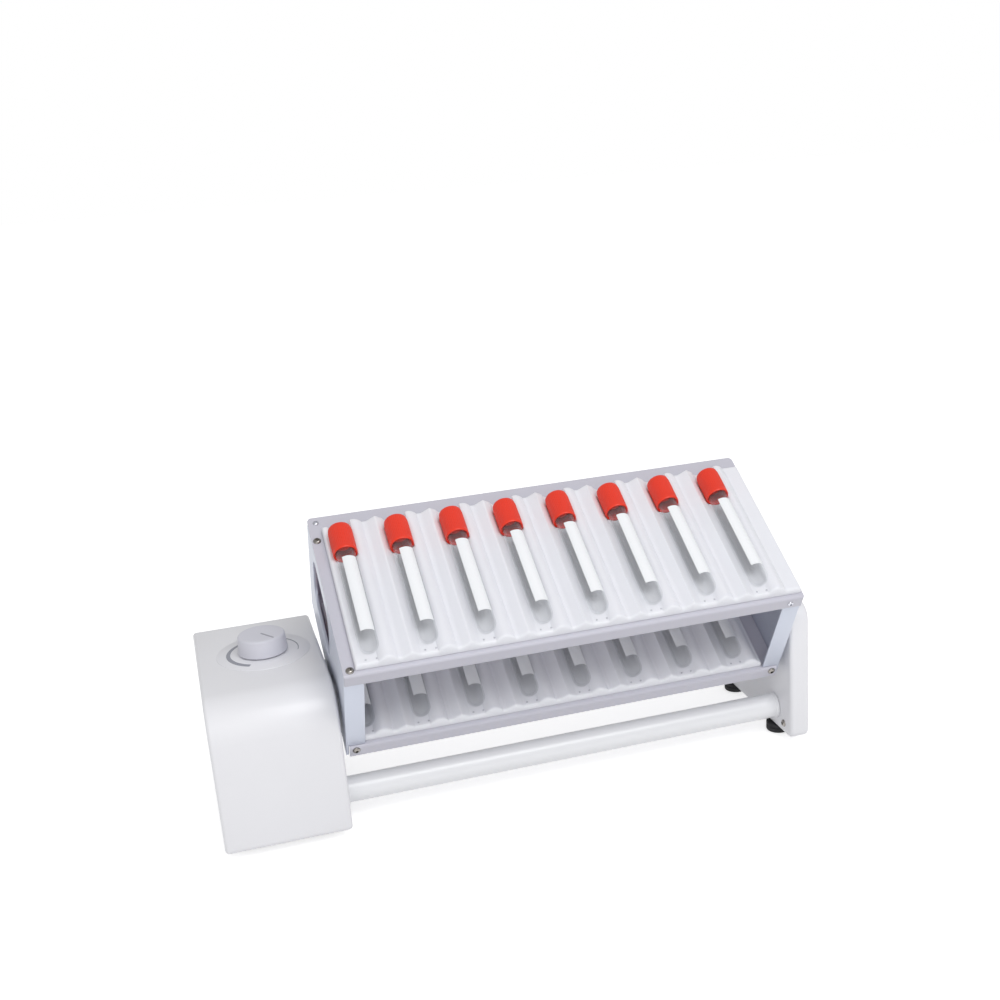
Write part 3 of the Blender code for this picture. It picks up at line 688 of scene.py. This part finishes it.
# --- Motor box and support ------------
@dataclass
class MotorBox:
    """The enamelled casing, its feet, cover, inlet and what it holds."""

    frame: Frame
    rim: float = 0.0026
    foot_edge: float = 0.0009
    foot_toe: float = 0.3  # of the edge, below
    foot_shoulder: float = 0.4  # of the edge, above
    foot_hollow: float = 0.0004
    foot_hollow_shares: Pair = (0.45, 0.5)  # of the radius
    groove_depth: float = 0.6  # of the edge
    groove_shares: Quad = (0.5, 0.56, 0.66, 0.72)  # of the height
    inlet_pin: float = 0.001
    inlet_bore: float = 0.0042
    inlet_lip: float = 0.002
    inlet_edge: float = 0.0006
    pin_tip: float = 0.7
    pin_drop: float = 1.3
    barrel_share: float = 0.72

    def casing(self) -> None:
        """The box's shell."""
        shell = self.frame.refined("motor_housing", "casing_shell", rim=self.rim)
        self.frame.fit(shell, "frame", "white_enamel", ["motor_housing"], "white_enamel")

    def feet(self) -> None:
        """A grooved rubber foot for each seat, under the box and under the plate."""
        names = [f"housing_foot_{i}" for i in range(1, 5)] + [f"support_foot_{i}" for i in (1, 2)]
        edge, hollow = self.foot_edge, self.foot_hollow
        toe, shoulder, groove = (edge * s for s in (self.foot_toe, self.foot_shoulder, self.groove_depth))
        for node in names:
            low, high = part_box(node)
            radius = (high.x - low.x) / 2
            height = high.z - low.z
            inner, outer = (radius * share for share in self.foot_hollow_shares)
            start, deep, shallow, end = (height * share for share in self.groove_shares)
            profile: Profile = [(0, hollow), (inner, hollow), (outer, 0), (radius - edge, 0)]
            profile += [(radius - toe, toe), (radius, edge), (radius, start)]
            profile += [(radius - groove, deep), (radius - groove, shallow), (radius, end)]
            profile += [(radius, height - shoulder), (radius - shoulder, height), (0, height)]
            foot = placed(turned(node + "_rubber", profile, sides=48), over(low, high, low.z))
            self.frame.fit(foot, "frame", "foot_rubber", [node], "rubber")

    def inlet(self) -> None:
        """The round power socket at the back, with its centre pin."""
        low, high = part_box("power_inlet")
        depth = high.y - low.y
        flange = (high.z - low.z) / 2
        barrel = flange * self.barrel_share
        lip, edge, pin, bore = self.inlet_lip, self.inlet_edge, self.inlet_pin, self.inlet_bore
        profile: Profile = [(0, depth - lip), (pin * self.pin_tip, depth - lip)]
        profile += [(pin, depth - lip * self.pin_drop), (pin, lip), (bore, lip), (bore, depth - edge)]
        profile += [(bore + edge, depth), (flange - edge, depth), (flange, depth - edge)]
        profile += [(flange, depth - lip), (barrel, depth - lip), (barrel, 0), (0, 0)]
        socket = turned("power_socket", profile, sides=48)
        turn = Matrix.Rotation(-pi / 2, 4, "X")
        placed(socket, Matrix.Translation(((low.x + high.x) / 2, low.y, (low.z + high.z) / 2)) @ turn)
        self.frame.fit(socket, "frame", "black_plastic", ["power_inlet"], "black_plastic")

    def build(self) -> None:
        """Make the box and dress what it holds."""
        self.casing()
        self.feet()
        self.inlet()
        for node, finish in (
            ("base_cover", "white_enamel"),
            ("shaft_bush", "bronze"),
            ("motor_bracket", "steel"),
            ("gear_motor", "motor_steel"),
            ("potentiometer", "motor_steel"),
            ("circuit_board", "board_green"),
            ("motor_pinion", "steel"),
            ("sector_gear", "gear_plastic"),
            ("drive_shaft", "steel"),
        ):
            self.frame.dress(node, finish)


@dataclass
class Control:
    """The knob, its pointer line, and the dial under it."""

    frame: Frame
    dial_radius: float = 0.032
    dial_thickness: float = 0.0004
    dial_bore: float = 0.0045
    dial_edge: float = 0.6  # of the thickness
    band_radius: float = 0.024
    band_start: float = 243.0
    band_end: float = -16.0
    band_wide: float = 0.0035
    band_narrow: float = 0.0005
    band_base: float = 0.9  # of the dial's thickness
    band_steps: int = 96
    print_rise: float = 0.00006
    taper: float = 0.0008
    foot_chamfer: Pair = (0.0008, 0.0006)
    knob_round: float = 0.0016
    dish_share: float = 0.6
    dish_depths: Pair = (0.0001, 0.00015)
    pointer_angle: float = radians(-57)
    pointer_reach: float = 0.0140
    pointer_width: float = 0.0012
    pointer_sink: float = 0.0004

    def knob(self) -> None:
        """The turned knob, slightly tapered, with a dished top and its pointer line."""
        low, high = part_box("speed_knob")
        radius = (high.x - low.x) / 2
        height = high.z - low.z
        top = radius - self.taper
        inset, rise = self.foot_chamfer
        edge = self.knob_round
        shallow, deep = self.dish_depths
        profile: Profile = [(0, 0), (radius - inset, 0), (radius, rise), (radius, edge)]
        profile += corner(top - edge, height - edge, edge, 10, 90, steps=6)
        profile += [(top * self.dish_share, height - shallow), (0, height - deep)]
        centre = over(low, high, low.z)
        knob = placed(turned("knob_cap", profile, sides=96), centre)
        self.frame.fit(knob, "knob", "knob_plastic", ["speed_knob"], "knob")
        half, base, crest = self.pointer_width / 2, height - self.pointer_sink, height + self.print_rise
        section = ((-half, base), (half, base), (half, crest), (-half, crest))
        line = ringed("knob_pointer", [[(x, y, z) for y, z in section] for x in (0.0, self.pointer_reach)])
        placed(line, centre @ Matrix.Rotation(self.pointer_angle, 4, "Z"))
        self.frame.fit(line, "knob", "pointer_print")

    def dial(self) -> None:
        """The thin dial disc on the box, with a printed band that narrows as it goes round."""
        low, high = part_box("speed_knob")
        centre = over(low, high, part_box("motor_housing")[1].z)
        thick, radius, bore = self.dial_thickness, self.dial_radius, self.dial_bore
        edge = thick * self.dial_edge
        profile: Profile = [(bore, 0), (radius, 0), (radius, edge), (radius - edge, thick), (bore, thick)]
        disc = placed(turned("dial_disc", profile, sides=128, loop=True), centre)
        self.frame.fit(disc, "frame", "dial_film")
        base, crest = thick * self.band_base, thick + self.print_rise
        rings = []
        for i in range(self.band_steps + 1):
            share = i / self.band_steps
            angle = radians(self.band_start + (self.band_end - self.band_start) * share)
            half = (self.band_wide + (self.band_narrow - self.band_wide) * share) / 2
            inner, outer = self.band_radius - half, self.band_radius + half
            section = ((inner, base), (outer, base), (outer, crest), (inner, crest))
            rings.append([(r * cos(angle), r * sin(angle), z) for r, z in section])
        band = placed(ringed("dial_band", rings), centre)
        self.frame.fit(band, "frame", "dial_print")

    def build(self) -> None:
        """Make the knob and the dial."""
        self.knob()
        self.dial()


@dataclass
class Support:
    """The plate at the far end and the bar that ties it to the box."""

    frame: Frame
    rim: float = 0.0030
    bar_lip: float = 0.0004
    collar: float = 0.0016

    def build(self) -> None:
        """Make the plate and the bar."""
        plate = self.frame.refined("support_plate", "end_support", rim=self.rim)
        self.frame.fit(plate, "frame", "white_enamel", ["support_plate"], "white_enamel")
        low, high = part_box("crossbar")
        length, radius = high.x - low.x, (high.z - low.z) / 2
        slim = radius - self.bar_lip
        profile: Profile = [(0, 0), (radius, 0), (radius, self.collar), (slim, self.collar + self.bar_lip)]
        profile += [(slim, length - self.collar - self.bar_lip), (radius, length - self.collar)]
        bar = turned("tie_bar", profile + [(radius, length), (0, length)], sides=72)
        place = Matrix.Translation((low.x, (low.y + high.y) / 2, (low.z + high.z) / 2))
        placed(bar, place @ Matrix.Rotation(pi / 2, 4, "Y"))
        self.frame.fit(bar, "frame", "bar_enamel", ["crossbar"], "white_bar")
        self.frame.dress("support_bush", "bronze")
        self.frame.dress("stub_axle", "steel")


# --- Carriage ------------
@dataclass
class Carriage:
    """The two shelves and the two end plates that tilt together."""

    frame: Frame
    sheet: float = 0.0015
    fold: float = 0.0018
    fold_ease: float = 0.0002
    back_corner: float = 0.0060
    front_corner: float = 0.0025
    plan_spare: float = 0.0004
    plan_reach: float = 0.02
    crease: float = 0.0003

    def shelf(self, node: str, name: str, rounded: bool) -> None:
        """A pressed shelf: a flat sheet with a folded lip at the front and the back.

        Args:
            node: the node that it stands for.
            name: the piece's name.
            rounded: whether its corners are rounded.
        """
        low, high = self.frame.local_box(node)
        t, fold, inner = self.sheet, self.fold, self.fold - self.sheet + self.fold_ease
        outline = [(low.y, low.z)]
        outline += corner(low.y + fold, high.z - fold, fold, 180, 90)
        outline += corner(high.y - fold, high.z - fold, fold, 90, 0)
        outline += [(high.y, low.z), (high.y - t, low.z)]
        outline += corner(high.y - t - inner, high.z - t - inner, inner, 0, 90, steps=4)
        outline += corner(low.y + t + inner, high.z - t - inner, inner, 90, 180, steps=4)
        outline += [(low.y + t, low.z)]
        obj = ringed(name, [[(x, y, z) for y, z in outline] for x in (low.x, high.x)])
        if rounded:
            spare, tall = self.plan_spare, self.plan_reach
            back, front = self.back_corner, self.front_corner
            edges = (
                (high.x, high.y, back, 0),
                (low.x, high.y, back, 90),
                (low.x, low.y, front, 180),
                (high.x, low.y, front, 270),
            )
            plan = []
            for x, y, radius, start in edges:
                dx = 1 if x == high.x else -1
                dy = 1 if y == high.y else -1
                centre = (x + dx * (spare - radius), y + dy * (spare - radius))
                plan += corner(*centre, radius, start, start + 90)
            levels = (low.z - tall, high.z + tall)
            trimmed(obj, ringed(name + "_plan", [[(x, y, z) for x, y in plan] for z in levels]))
        placed(obj, self.frame.carriage)
        self.frame.fit(obj, "carriage", "shelf_enamel", [node], "shelf_paint")

    def build(self) -> None:
        """Make the shelves and the end plates."""
        self.shelf("upper_shelf", "upper_tray", True)
        self.shelf("lower_shelf", "lower_tray", False)
        for side in ("left", "right"):
            node = f"{side}_end_plate"
            plate = self.frame.refined(node, f"{side}_end_frame", crease=self.crease)
            self.frame.fit(plate, "carriage", "end_plate_enamel", [node], "endplate_paint")


@dataclass
class Mats:
    """The soft mats, with a channel for each tube and two ridges between tubes."""

    frame: Frame
    low_height: float = 0.0045
    dome_at: float = 0.0104
    roof_at: float = 0.0256
    half_width: float = 0.0062
    dome_power: float = 0.8
    clearance: float = 0.0003
    edge: float = 0.0014
    skin: float = 0.0006  # the least height
    fine: float = 0.0007
    fine_reach: float = 0.002
    coarse: float = 0.0030
    steps_per_pitch: int = 52
    sharp: float = 50

    def ridge(self, x: float, first: float, last: float, pitch: float, tall: float) -> float:
        """Height of the mat: a round ridge, a valley and a sharp ridge between tubes, flat beyond."""
        turn = (x - first) % pitch
        if x < first - self.dome_at / 2 or x > last + self.dome_at + self.half_width:
            return self.low_height
        rise = tall - self.low_height
        dome = abs(turn - self.dome_at) / self.half_width
        roof = abs(turn - self.roof_at) / self.half_width
        bump = cos(pi / 2 * dome) ** self.dome_power if dome < 1 else 0
        return self.low_height + rise * max(bump, 1 - roof if roof < 1 else 0)

    def stations(self, front: float, back: float, fine_spans: list[Pair]) -> list[float]:
        """Places from front to back, closer together inside the fine spans."""
        places = [front]
        while places[-1] < back - self.fine:
            near = any(a - self.coarse <= places[-1] <= b for a, b in fine_spans)
            places.append(min(back, places[-1] + (self.fine if near else self.coarse)))
        places[-1] = back
        return places

    def mat(self, tier: str) -> None:
        """One tier's mat.

        Args:
            tier: "upper" or "lower".
        """
        node = f"{tier}_mat"
        low, high = self.frame.local_box(node)
        tubes = [self.frame.local_box(f"tube_{tier}_{i}") for i in TUBE_NUMBERS]
        caps = self.frame.local_box(f"cap_{tier}_1")
        centres = [(a.x + b.x) / 2 for a, b in tubes]
        pitch = centres[1] - centres[0]
        axis = (tubes[0][0].z + tubes[0][1].z) / 2 - low.z
        tube_radius = (tubes[0][1].x - tubes[0][0].x) / 2 + self.clearance
        cap_radius = (caps[1].x - caps[0].x) / 2 + self.clearance
        bottom = tubes[0][0].y + tube_radius
        tall = high.z - low.z
        cap_front = caps[0].y - self.clearance * 2
        reach = self.fine_reach
        spans = [(low.y, bottom + reach), (high.y - reach, high.y)]
        spans.append((cap_front - reach / 2, cap_front + reach / 2))
        ys = self.stations(low.y, high.y, spans)
        count = round((high.x - low.x) / pitch * self.steps_per_pitch)
        xs = [low.x + (high.x - low.x) * i / count for i in range(count + 1)]

        def top(x: float, y: float) -> float:
            """Height of the mat's skin."""
            height = self.ridge(x, centres[0], centres[-1], pitch, tall)
            dx = min(abs(x - centre) for centre in centres)
            radius = cap_radius if y > cap_front else tube_radius
            along = max(0.0, bottom - y)
            room = radius**2 - dx**2 - along**2
            if room > 0:
                height = min(height, axis - sqrt(room))
            margin = min(x - low.x, high.x - x, y - low.y, high.y - y)
            if margin < self.edge:
                height -= self.edge * (1 - sqrt(max(0.0, 1 - (1 - margin / self.edge) ** 2)))
            return max(height, self.skin)

        bm = bmesh.new()
        skin = [[bm.verts.new((x, y, low.z + top(x, y))) for y in ys] for x in xs]
        for a, b in zip(skin, skin[1:]):
            for j in range(len(ys) - 1):
                bm.faces.new((a[j], b[j], b[j + 1], a[j + 1]))
        border = [column[0] for column in skin] + skin[-1][1:]
        border += [column[-1] for column in reversed(skin[:-1])] + list(reversed(skin[0][1:-1]))
        floor = [bm.verts.new((v.co.x, v.co.y, low.z)) for v in border]
        for i in range(len(border)):
            j = (i + 1) % len(border)
            bm.faces.new((border[j], border[i], floor[i], floor[j]))
        bm.faces.new(list(reversed(floor)))
        bmesh.ops.recalc_face_normals(bm, faces=bm.faces)
        obj = placed(new_object(f"{tier}_ridged_mat", bm, self.sharp), self.frame.carriage)
        self.frame.fit(obj, "carriage", "silicone", [node], "mat")

    def build(self) -> None:
        """Make both mats."""
        for tier in TIERS:
            self.mat(tier)


@dataclass
class Tubes:
    """Clear tubes with blank labels and ribbed caps."""

    SKIRT = ((0.0004, 0.0), (0.0001, 0.0004), (0.0, 0.0010), (0.0, 0.0024))  # inset and height
    DISH = ((0.0026, 0.0), (0.0031, 0.0006))  # inset and depth

    frame: Frame
    wall: float = 0.001
    label_top: float = 0.0227  # from the mouth to the label
    label_length: float = 0.0630
    label_half: float = radians(43)
    label_turn: float = radians(10)
    label_steps: int = 8
    label_lift: float = 0.00004
    label_thickness: float = 0.00010
    ribs: int = 40
    steps_per_rib: int = 4
    rib_depth: float = 0.035  # as a share of the radius
    rib_power: float = 0.6
    rib_start: float = 0.0030
    rib_end: float = 0.0032
    skirt_lip: float = 0.0009
    skirt_slope: Pair = (0.0016, 0.0013)  # heights inside it, at the tube and at the lip
    tube_inset: float = 0.00145
    plug_inset: float = 0.0029
    plug: float = 0.008
    seat_gap: float = 0.0003
    shoulder: Pair = (0.0002, 0.0024)
    crown_inset: float = 0.0016
    crown_round: float = 0.0014

    def along(self, low: Vector, high: Vector) -> Matrix:
        """A turned piece's place, its start at the front end of a box and its axis along the shelf."""
        start = Matrix.Translation(((low.x + high.x) / 2, low.y, (low.z + high.z) / 2))
        return self.frame.carriage @ start @ Matrix.Rotation(-pi / 2, 4, "X")

    def tube(self, node: str) -> None:
        """A round-bottomed tube and its paper label.

        Args:
            node: the node that it stands for.
        """
        low, high = self.frame.local_box(node)
        radius, length = (high.x - low.x) / 2, high.y - low.y
        bore = radius - self.wall
        outer = [(0.0, 0.0)] + corner(0, radius, radius, -90, 0, steps=10)[1:]
        inner = list(reversed(corner(0, radius, bore, -90, 0, steps=10)[1:])) + [(0.0, self.wall)]
        profile = outer + [(radius, length), (bore, length)] + inner
        obj = placed(turned(node + "_clear", profile, sides=48), self.along(low, high))
        self.frame.fit(obj, "carriage", "clear_plastic", [node], "tube")
        inside = radius + self.label_lift
        outside = inside + self.label_thickness
        top = length - self.label_top
        bottom = top - self.label_length
        up = -pi / 2 + self.label_turn
        count = self.label_steps
        angles = [up + self.label_half * (i / count - 1) for i in range(2 * count + 1)]
        section = [(inside, a) for a in angles] + [(outside, a) for a in reversed(angles)]
        rings = [[(r * cos(a), r * sin(a), z) for r, a in section] for z in (bottom, top)]
        label = ringed(node + "_label", rings)
        self.frame.fit(placed(label, self.along(low, high)), "carriage", "label_paper")

    def cap(self, node: str, mouth: float) -> None:
        """A ribbed cap with a plug and a recessed rim.

        Args:
            node: the node that it stands for.
            mouth: where the tube's mouth lies along the shelf.
        """
        low, high = self.frame.local_box(node)
        radius, length = (high.x - low.x) / 2, high.y - low.y
        seat = mouth - low.y + self.seat_gap
        hold, stem, lip = (radius - inset for inset in (self.tube_inset, self.plug_inset, self.skirt_lip))
        at_tube, at_lip = self.skirt_slope
        profile: Profile = [(0, seat - self.plug), (stem, seat - self.plug), (stem, seat), (hold, seat)]
        profile += [(hold, at_tube), (lip, at_lip), (lip, 0.0)]
        profile += [(radius - inset, height) for inset, height in self.SKIRT]
        first_rib = len(profile)
        profile += [(radius, self.rib_start), (radius, length - self.rib_end)]
        last_rib = len(profile) - 1
        inset, drop = self.shoulder
        profile += [(radius - inset, length - drop)]
        edge = self.crown_round
        profile += corner(radius - self.crown_inset, length - edge, edge, 30, 90, steps=5)
        profile += [(radius - inset, length - depth) for inset, depth in self.DISH]
        profile += [(0, length - self.DISH[-1][1])]

        def shape(angle: float, number: int) -> float:
            """Draw the ribbed rings in between ribs."""
            if not first_rib <= number <= last_rib:
                return 1
            return 1 - self.rib_depth * (0.5 - 0.5 * cos(self.ribs * angle)) ** self.rib_power

        obj = turned(node + "_ribbed", profile, self.ribs * self.steps_per_rib, shape)
        self.frame.fit(placed(obj, self.along(low, high)), "carriage", "red_cap", [node], "cap")

    def build(self) -> None:
        """Make both tiers' tubes and caps."""
        for tier in TIERS:
            for index in TUBE_NUMBERS:
                self.tube(f"tube_{tier}_{index}")
                mouth = self.frame.local_box(f"tube_{tier}_{index}")[1].y
                self.cap(f"cap_{tier}_{index}", mouth)


@dataclass
class Hardware:
    """Where every screw and rivet goes. An inset is a distance from the two nearest sides."""

    frame: Frame
    screw: float = 0.0027
    dome: float = 0.0021
    rivet: float = 0.0007
    rivet_spread: float = 0.0035
    rivet_inset: float = 0.0034
    dome_inset: Pair = (0.0054, 0.0063)
    lip_inset: Pair = (0.0093, 0.0054)
    back_inset: Pair = (0.0035, 0.0227)
    front_inset: Pair = (0.0045, 0.0046)
    under_insets: Pair = (0.0043, 0.0039)  # from the left and the right
    under_drop: float = 0.0032
    plate_screw: Pair = (-0.046, 0.0155)

    def facing(self, place: Point, up: Matrix) -> Head:
        """A head at a place in the carriage's own axes, its own turn given there too."""
        return Head(self.frame.carriage @ Vector(place), tuple((self.frame.carriage @ up).to_euler()))

    def build(self) -> None:
        """Set every head."""
        makers = Fasteners(self.frame)
        flat, front = Matrix.Identity(4), Matrix.Rotation(pi / 2, 4, "X")
        low, high = self.frame.local_box("upper_shelf")
        under_low, under_high = self.frame.local_box("lower_shelf")
        dx, dy = self.dome_inset
        bright = [self.facing((low.x + dx, high.y - dy, high.z), flat)]
        dx, dz = self.lip_inset
        bright.append(self.facing((high.x - dx, low.y, high.z - dz), front))
        dx, dy = self.back_inset
        dark = [self.facing((low.x + dx, high.y - dy, high.z), flat)]
        dx, dy = self.front_inset
        dark.append(self.facing((low.x + dx, low.y + dy, high.z), flat))
        left, right = self.under_insets
        for x in (under_low.x + left, under_high.x - right):
            dark.append(self.facing((x, under_low.y, under_high.z - self.under_drop), front))
        # The dome screws take the lighter steel, whose colour is painted highlight.
        makers.set("shelf_dome_screws", "carriage", "screw_steel_painted_highlight", self.dome, bright)
        # The socket screws take the darker steel, whose colour is painted shade.
        makers.set("shelf_dark_screws", "carriage", "screw_steel_painted_shade", self.screw, dark)
        rivets = []
        for tier in TIERS:
            mat_low, _ = self.frame.local_box(f"{tier}_mat")
            for index in TUBE_NUMBERS:
                a, b = self.frame.local_box(f"tube_{tier}_{index}")
                for side in (-1, 1):
                    x = (a.x + b.x) / 2 + side * self.rivet_spread
                    y, z = mat_low.y + self.rivet_inset, mat_low.z + Mats.low_height
                    rivets.append(self.facing((x, y, z), flat))
        # The rivets take the lighter steel too, with its painted highlight.
        makers.set("mat_rivets", "carriage", "screw_steel_painted_highlight", self.rivet, rivets, False)
        plate_low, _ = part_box("support_plate")
        turn = tuple(Matrix.Rotation(-pi / 2, 4, "Y").to_euler())
        screws = [Head(Vector((plate_low.x, *self.plate_screw)), turn)]
        # The plate screw takes the darker steel too, with its painted shade.
        makers.set("support_screw", "frame", "screw_steel_painted_shade", self.screw, screws)


# --- Studio ------------
@dataclass
class Studio:
    """Floor, world, lamps and camera."""

    LAMPS = (
        ("key_lamp", (0.35, -1.15, 1.5), 0.9, 12),
        ("fill_lamp", (-0.5, -1.5, 0.7), 1.2, 4.5),
    )
    AIM = (0, 0, 0.1)

    place: tuple[float, float, float] = (-0.20183, -0.86652, 0.4724)
    yaw: float = radians(15.98)
    pitch: float = radians(18.67)
    roll: float = radians(3.69)
    lens: float = 48.67
    shift: Pair = (-0.060, 0.040)
    sensor: float = 36
    nearest: float = 0.01
    floor_size: float = 6.0
    floor_tone: Quad = (0.80, 0.80, 0.80, 1)
    floor_glow: float = 0.62
    world_level: float = 0.58

    @staticmethod
    def seen(graph: Graph) -> Signal:
        """One where the camera, a reflection or clear plastic looks at the surface."""
        path = graph.add("ShaderNodeLightPath", out="Is Camera Ray")
        outputs = path.socket.node.outputs
        glossy, through = (Signal(graph, outputs[n]) for n in ("Is Glossy Ray", "Is Transmission Ray"))
        return path.larger(glossy).larger(through)

    def floor(self) -> None:
        """A pale floor that keeps the shadow."""
        graph = Graph("studio_floor")
        diffuse = graph.add("ShaderNodeBsdfDiffuse", None, {"Color": self.floor_tone})
        light = {"Color": (1, 1, 1, 1), "Strength": self.seen(graph) * self.floor_glow}
        glow = graph.add("ShaderNodeEmission", None, light)
        material = graph.end(graph.add("ShaderNodeAddShader", None, {0: diffuse, 1: glow}))
        bm = bmesh.new()
        bmesh.ops.create_grid(bm, x_segments=2, y_segments=2, size=self.floor_size)
        obj = new_object("studio_floor", bm)
        obj.data.materials.append(material)
        obj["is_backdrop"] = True

    def world(self) -> None:
        """A soft even world, white behind the object."""
        world = bpy.data.worlds.new("studio")
        bpy.context.scene.world = world
        world.use_nodes = True
        tree = world.node_tree
        tree.nodes.clear()
        path = tree.nodes.new("ShaderNodeLightPath")
        even, white = tree.nodes.new("ShaderNodeBackground"), tree.nodes.new("ShaderNodeBackground")
        even.inputs["Strength"].default_value = self.world_level
        even.inputs["Color"].default_value = (1, 1, 1, 1)
        white.inputs["Color"].default_value = (1, 1, 1, 1)
        mix, out = tree.nodes.new("ShaderNodeMixShader"), tree.nodes.new("ShaderNodeOutputWorld")
        tree.links.new(path.outputs["Is Camera Ray"], mix.inputs[0])
        tree.links.new(even.outputs[0], mix.inputs[1])
        tree.links.new(white.outputs[0], mix.inputs[2])
        tree.links.new(mix.outputs[0], out.inputs["Surface"])

    @staticmethod
    def lamp(name: str, place: Point, size: float, watts: float) -> None:
        """A square soft lamp that looks at the machine.

        Args:
            name: the lamp's name.
            place: where it hangs.
            size: its side.
            watts: its power.
        """
        light = bpy.data.lights.new(name, "AREA")
        light.size = size
        light.energy = watts
        obj = bpy.data.objects.new(name, light)
        obj.location = place
        aim = Vector(Studio.AIM) - Vector(place)
        obj.rotation_euler = aim.to_track_quat("-Z", "Y").to_euler()
        bpy.context.scene.collection.objects.link(obj)

    def camera(self) -> None:
        """The camera, by its yaw, its pitch down and its roll."""
        ahead = Vector((sin(self.yaw) * cos(self.pitch), cos(self.yaw) * cos(self.pitch), -sin(self.pitch)))
        right = Vector((cos(self.yaw), -sin(self.yaw), 0))
        down = ahead.cross(right)
        across = right * cos(self.roll) + down * sin(self.roll)
        below = down * cos(self.roll) - right * sin(self.roll)
        data = bpy.data.cameras.new("camera")
        data.lens = self.lens
        data.sensor_width = self.sensor
        data.shift_x, data.shift_y = self.shift
        data.clip_start = self.nearest
        obj = bpy.data.objects.new("camera", data)
        axes = Matrix((across, -below, -ahead)).transposed().to_4x4()
        obj.matrix_world = Matrix.Translation(self.place) @ axes
        bpy.context.scene.collection.objects.link(obj)
        bpy.context.scene.camera = obj

    def build(self) -> None:
        """Set up the studio."""
        self.floor()
        self.world()
        for lamp in self.LAMPS:
            self.lamp(*lamp)
        self.camera()
        bpy.context.scene.view_settings.view_transform = "Standard"


def main() -> None:
    """Build every sub-assembly in order."""
    logging.basicConfig(level=logging.INFO, format="%(message)s")
    for obj in list(bpy.data.objects):
        bpy.data.objects.remove(obj)
    frame = Frame()
    for part in (MotorBox, Control, Support, Carriage, Mats, Tubes, Hardware):
        part(frame).build()
    Studio().build()


if __name__ == "__main__":
    main()
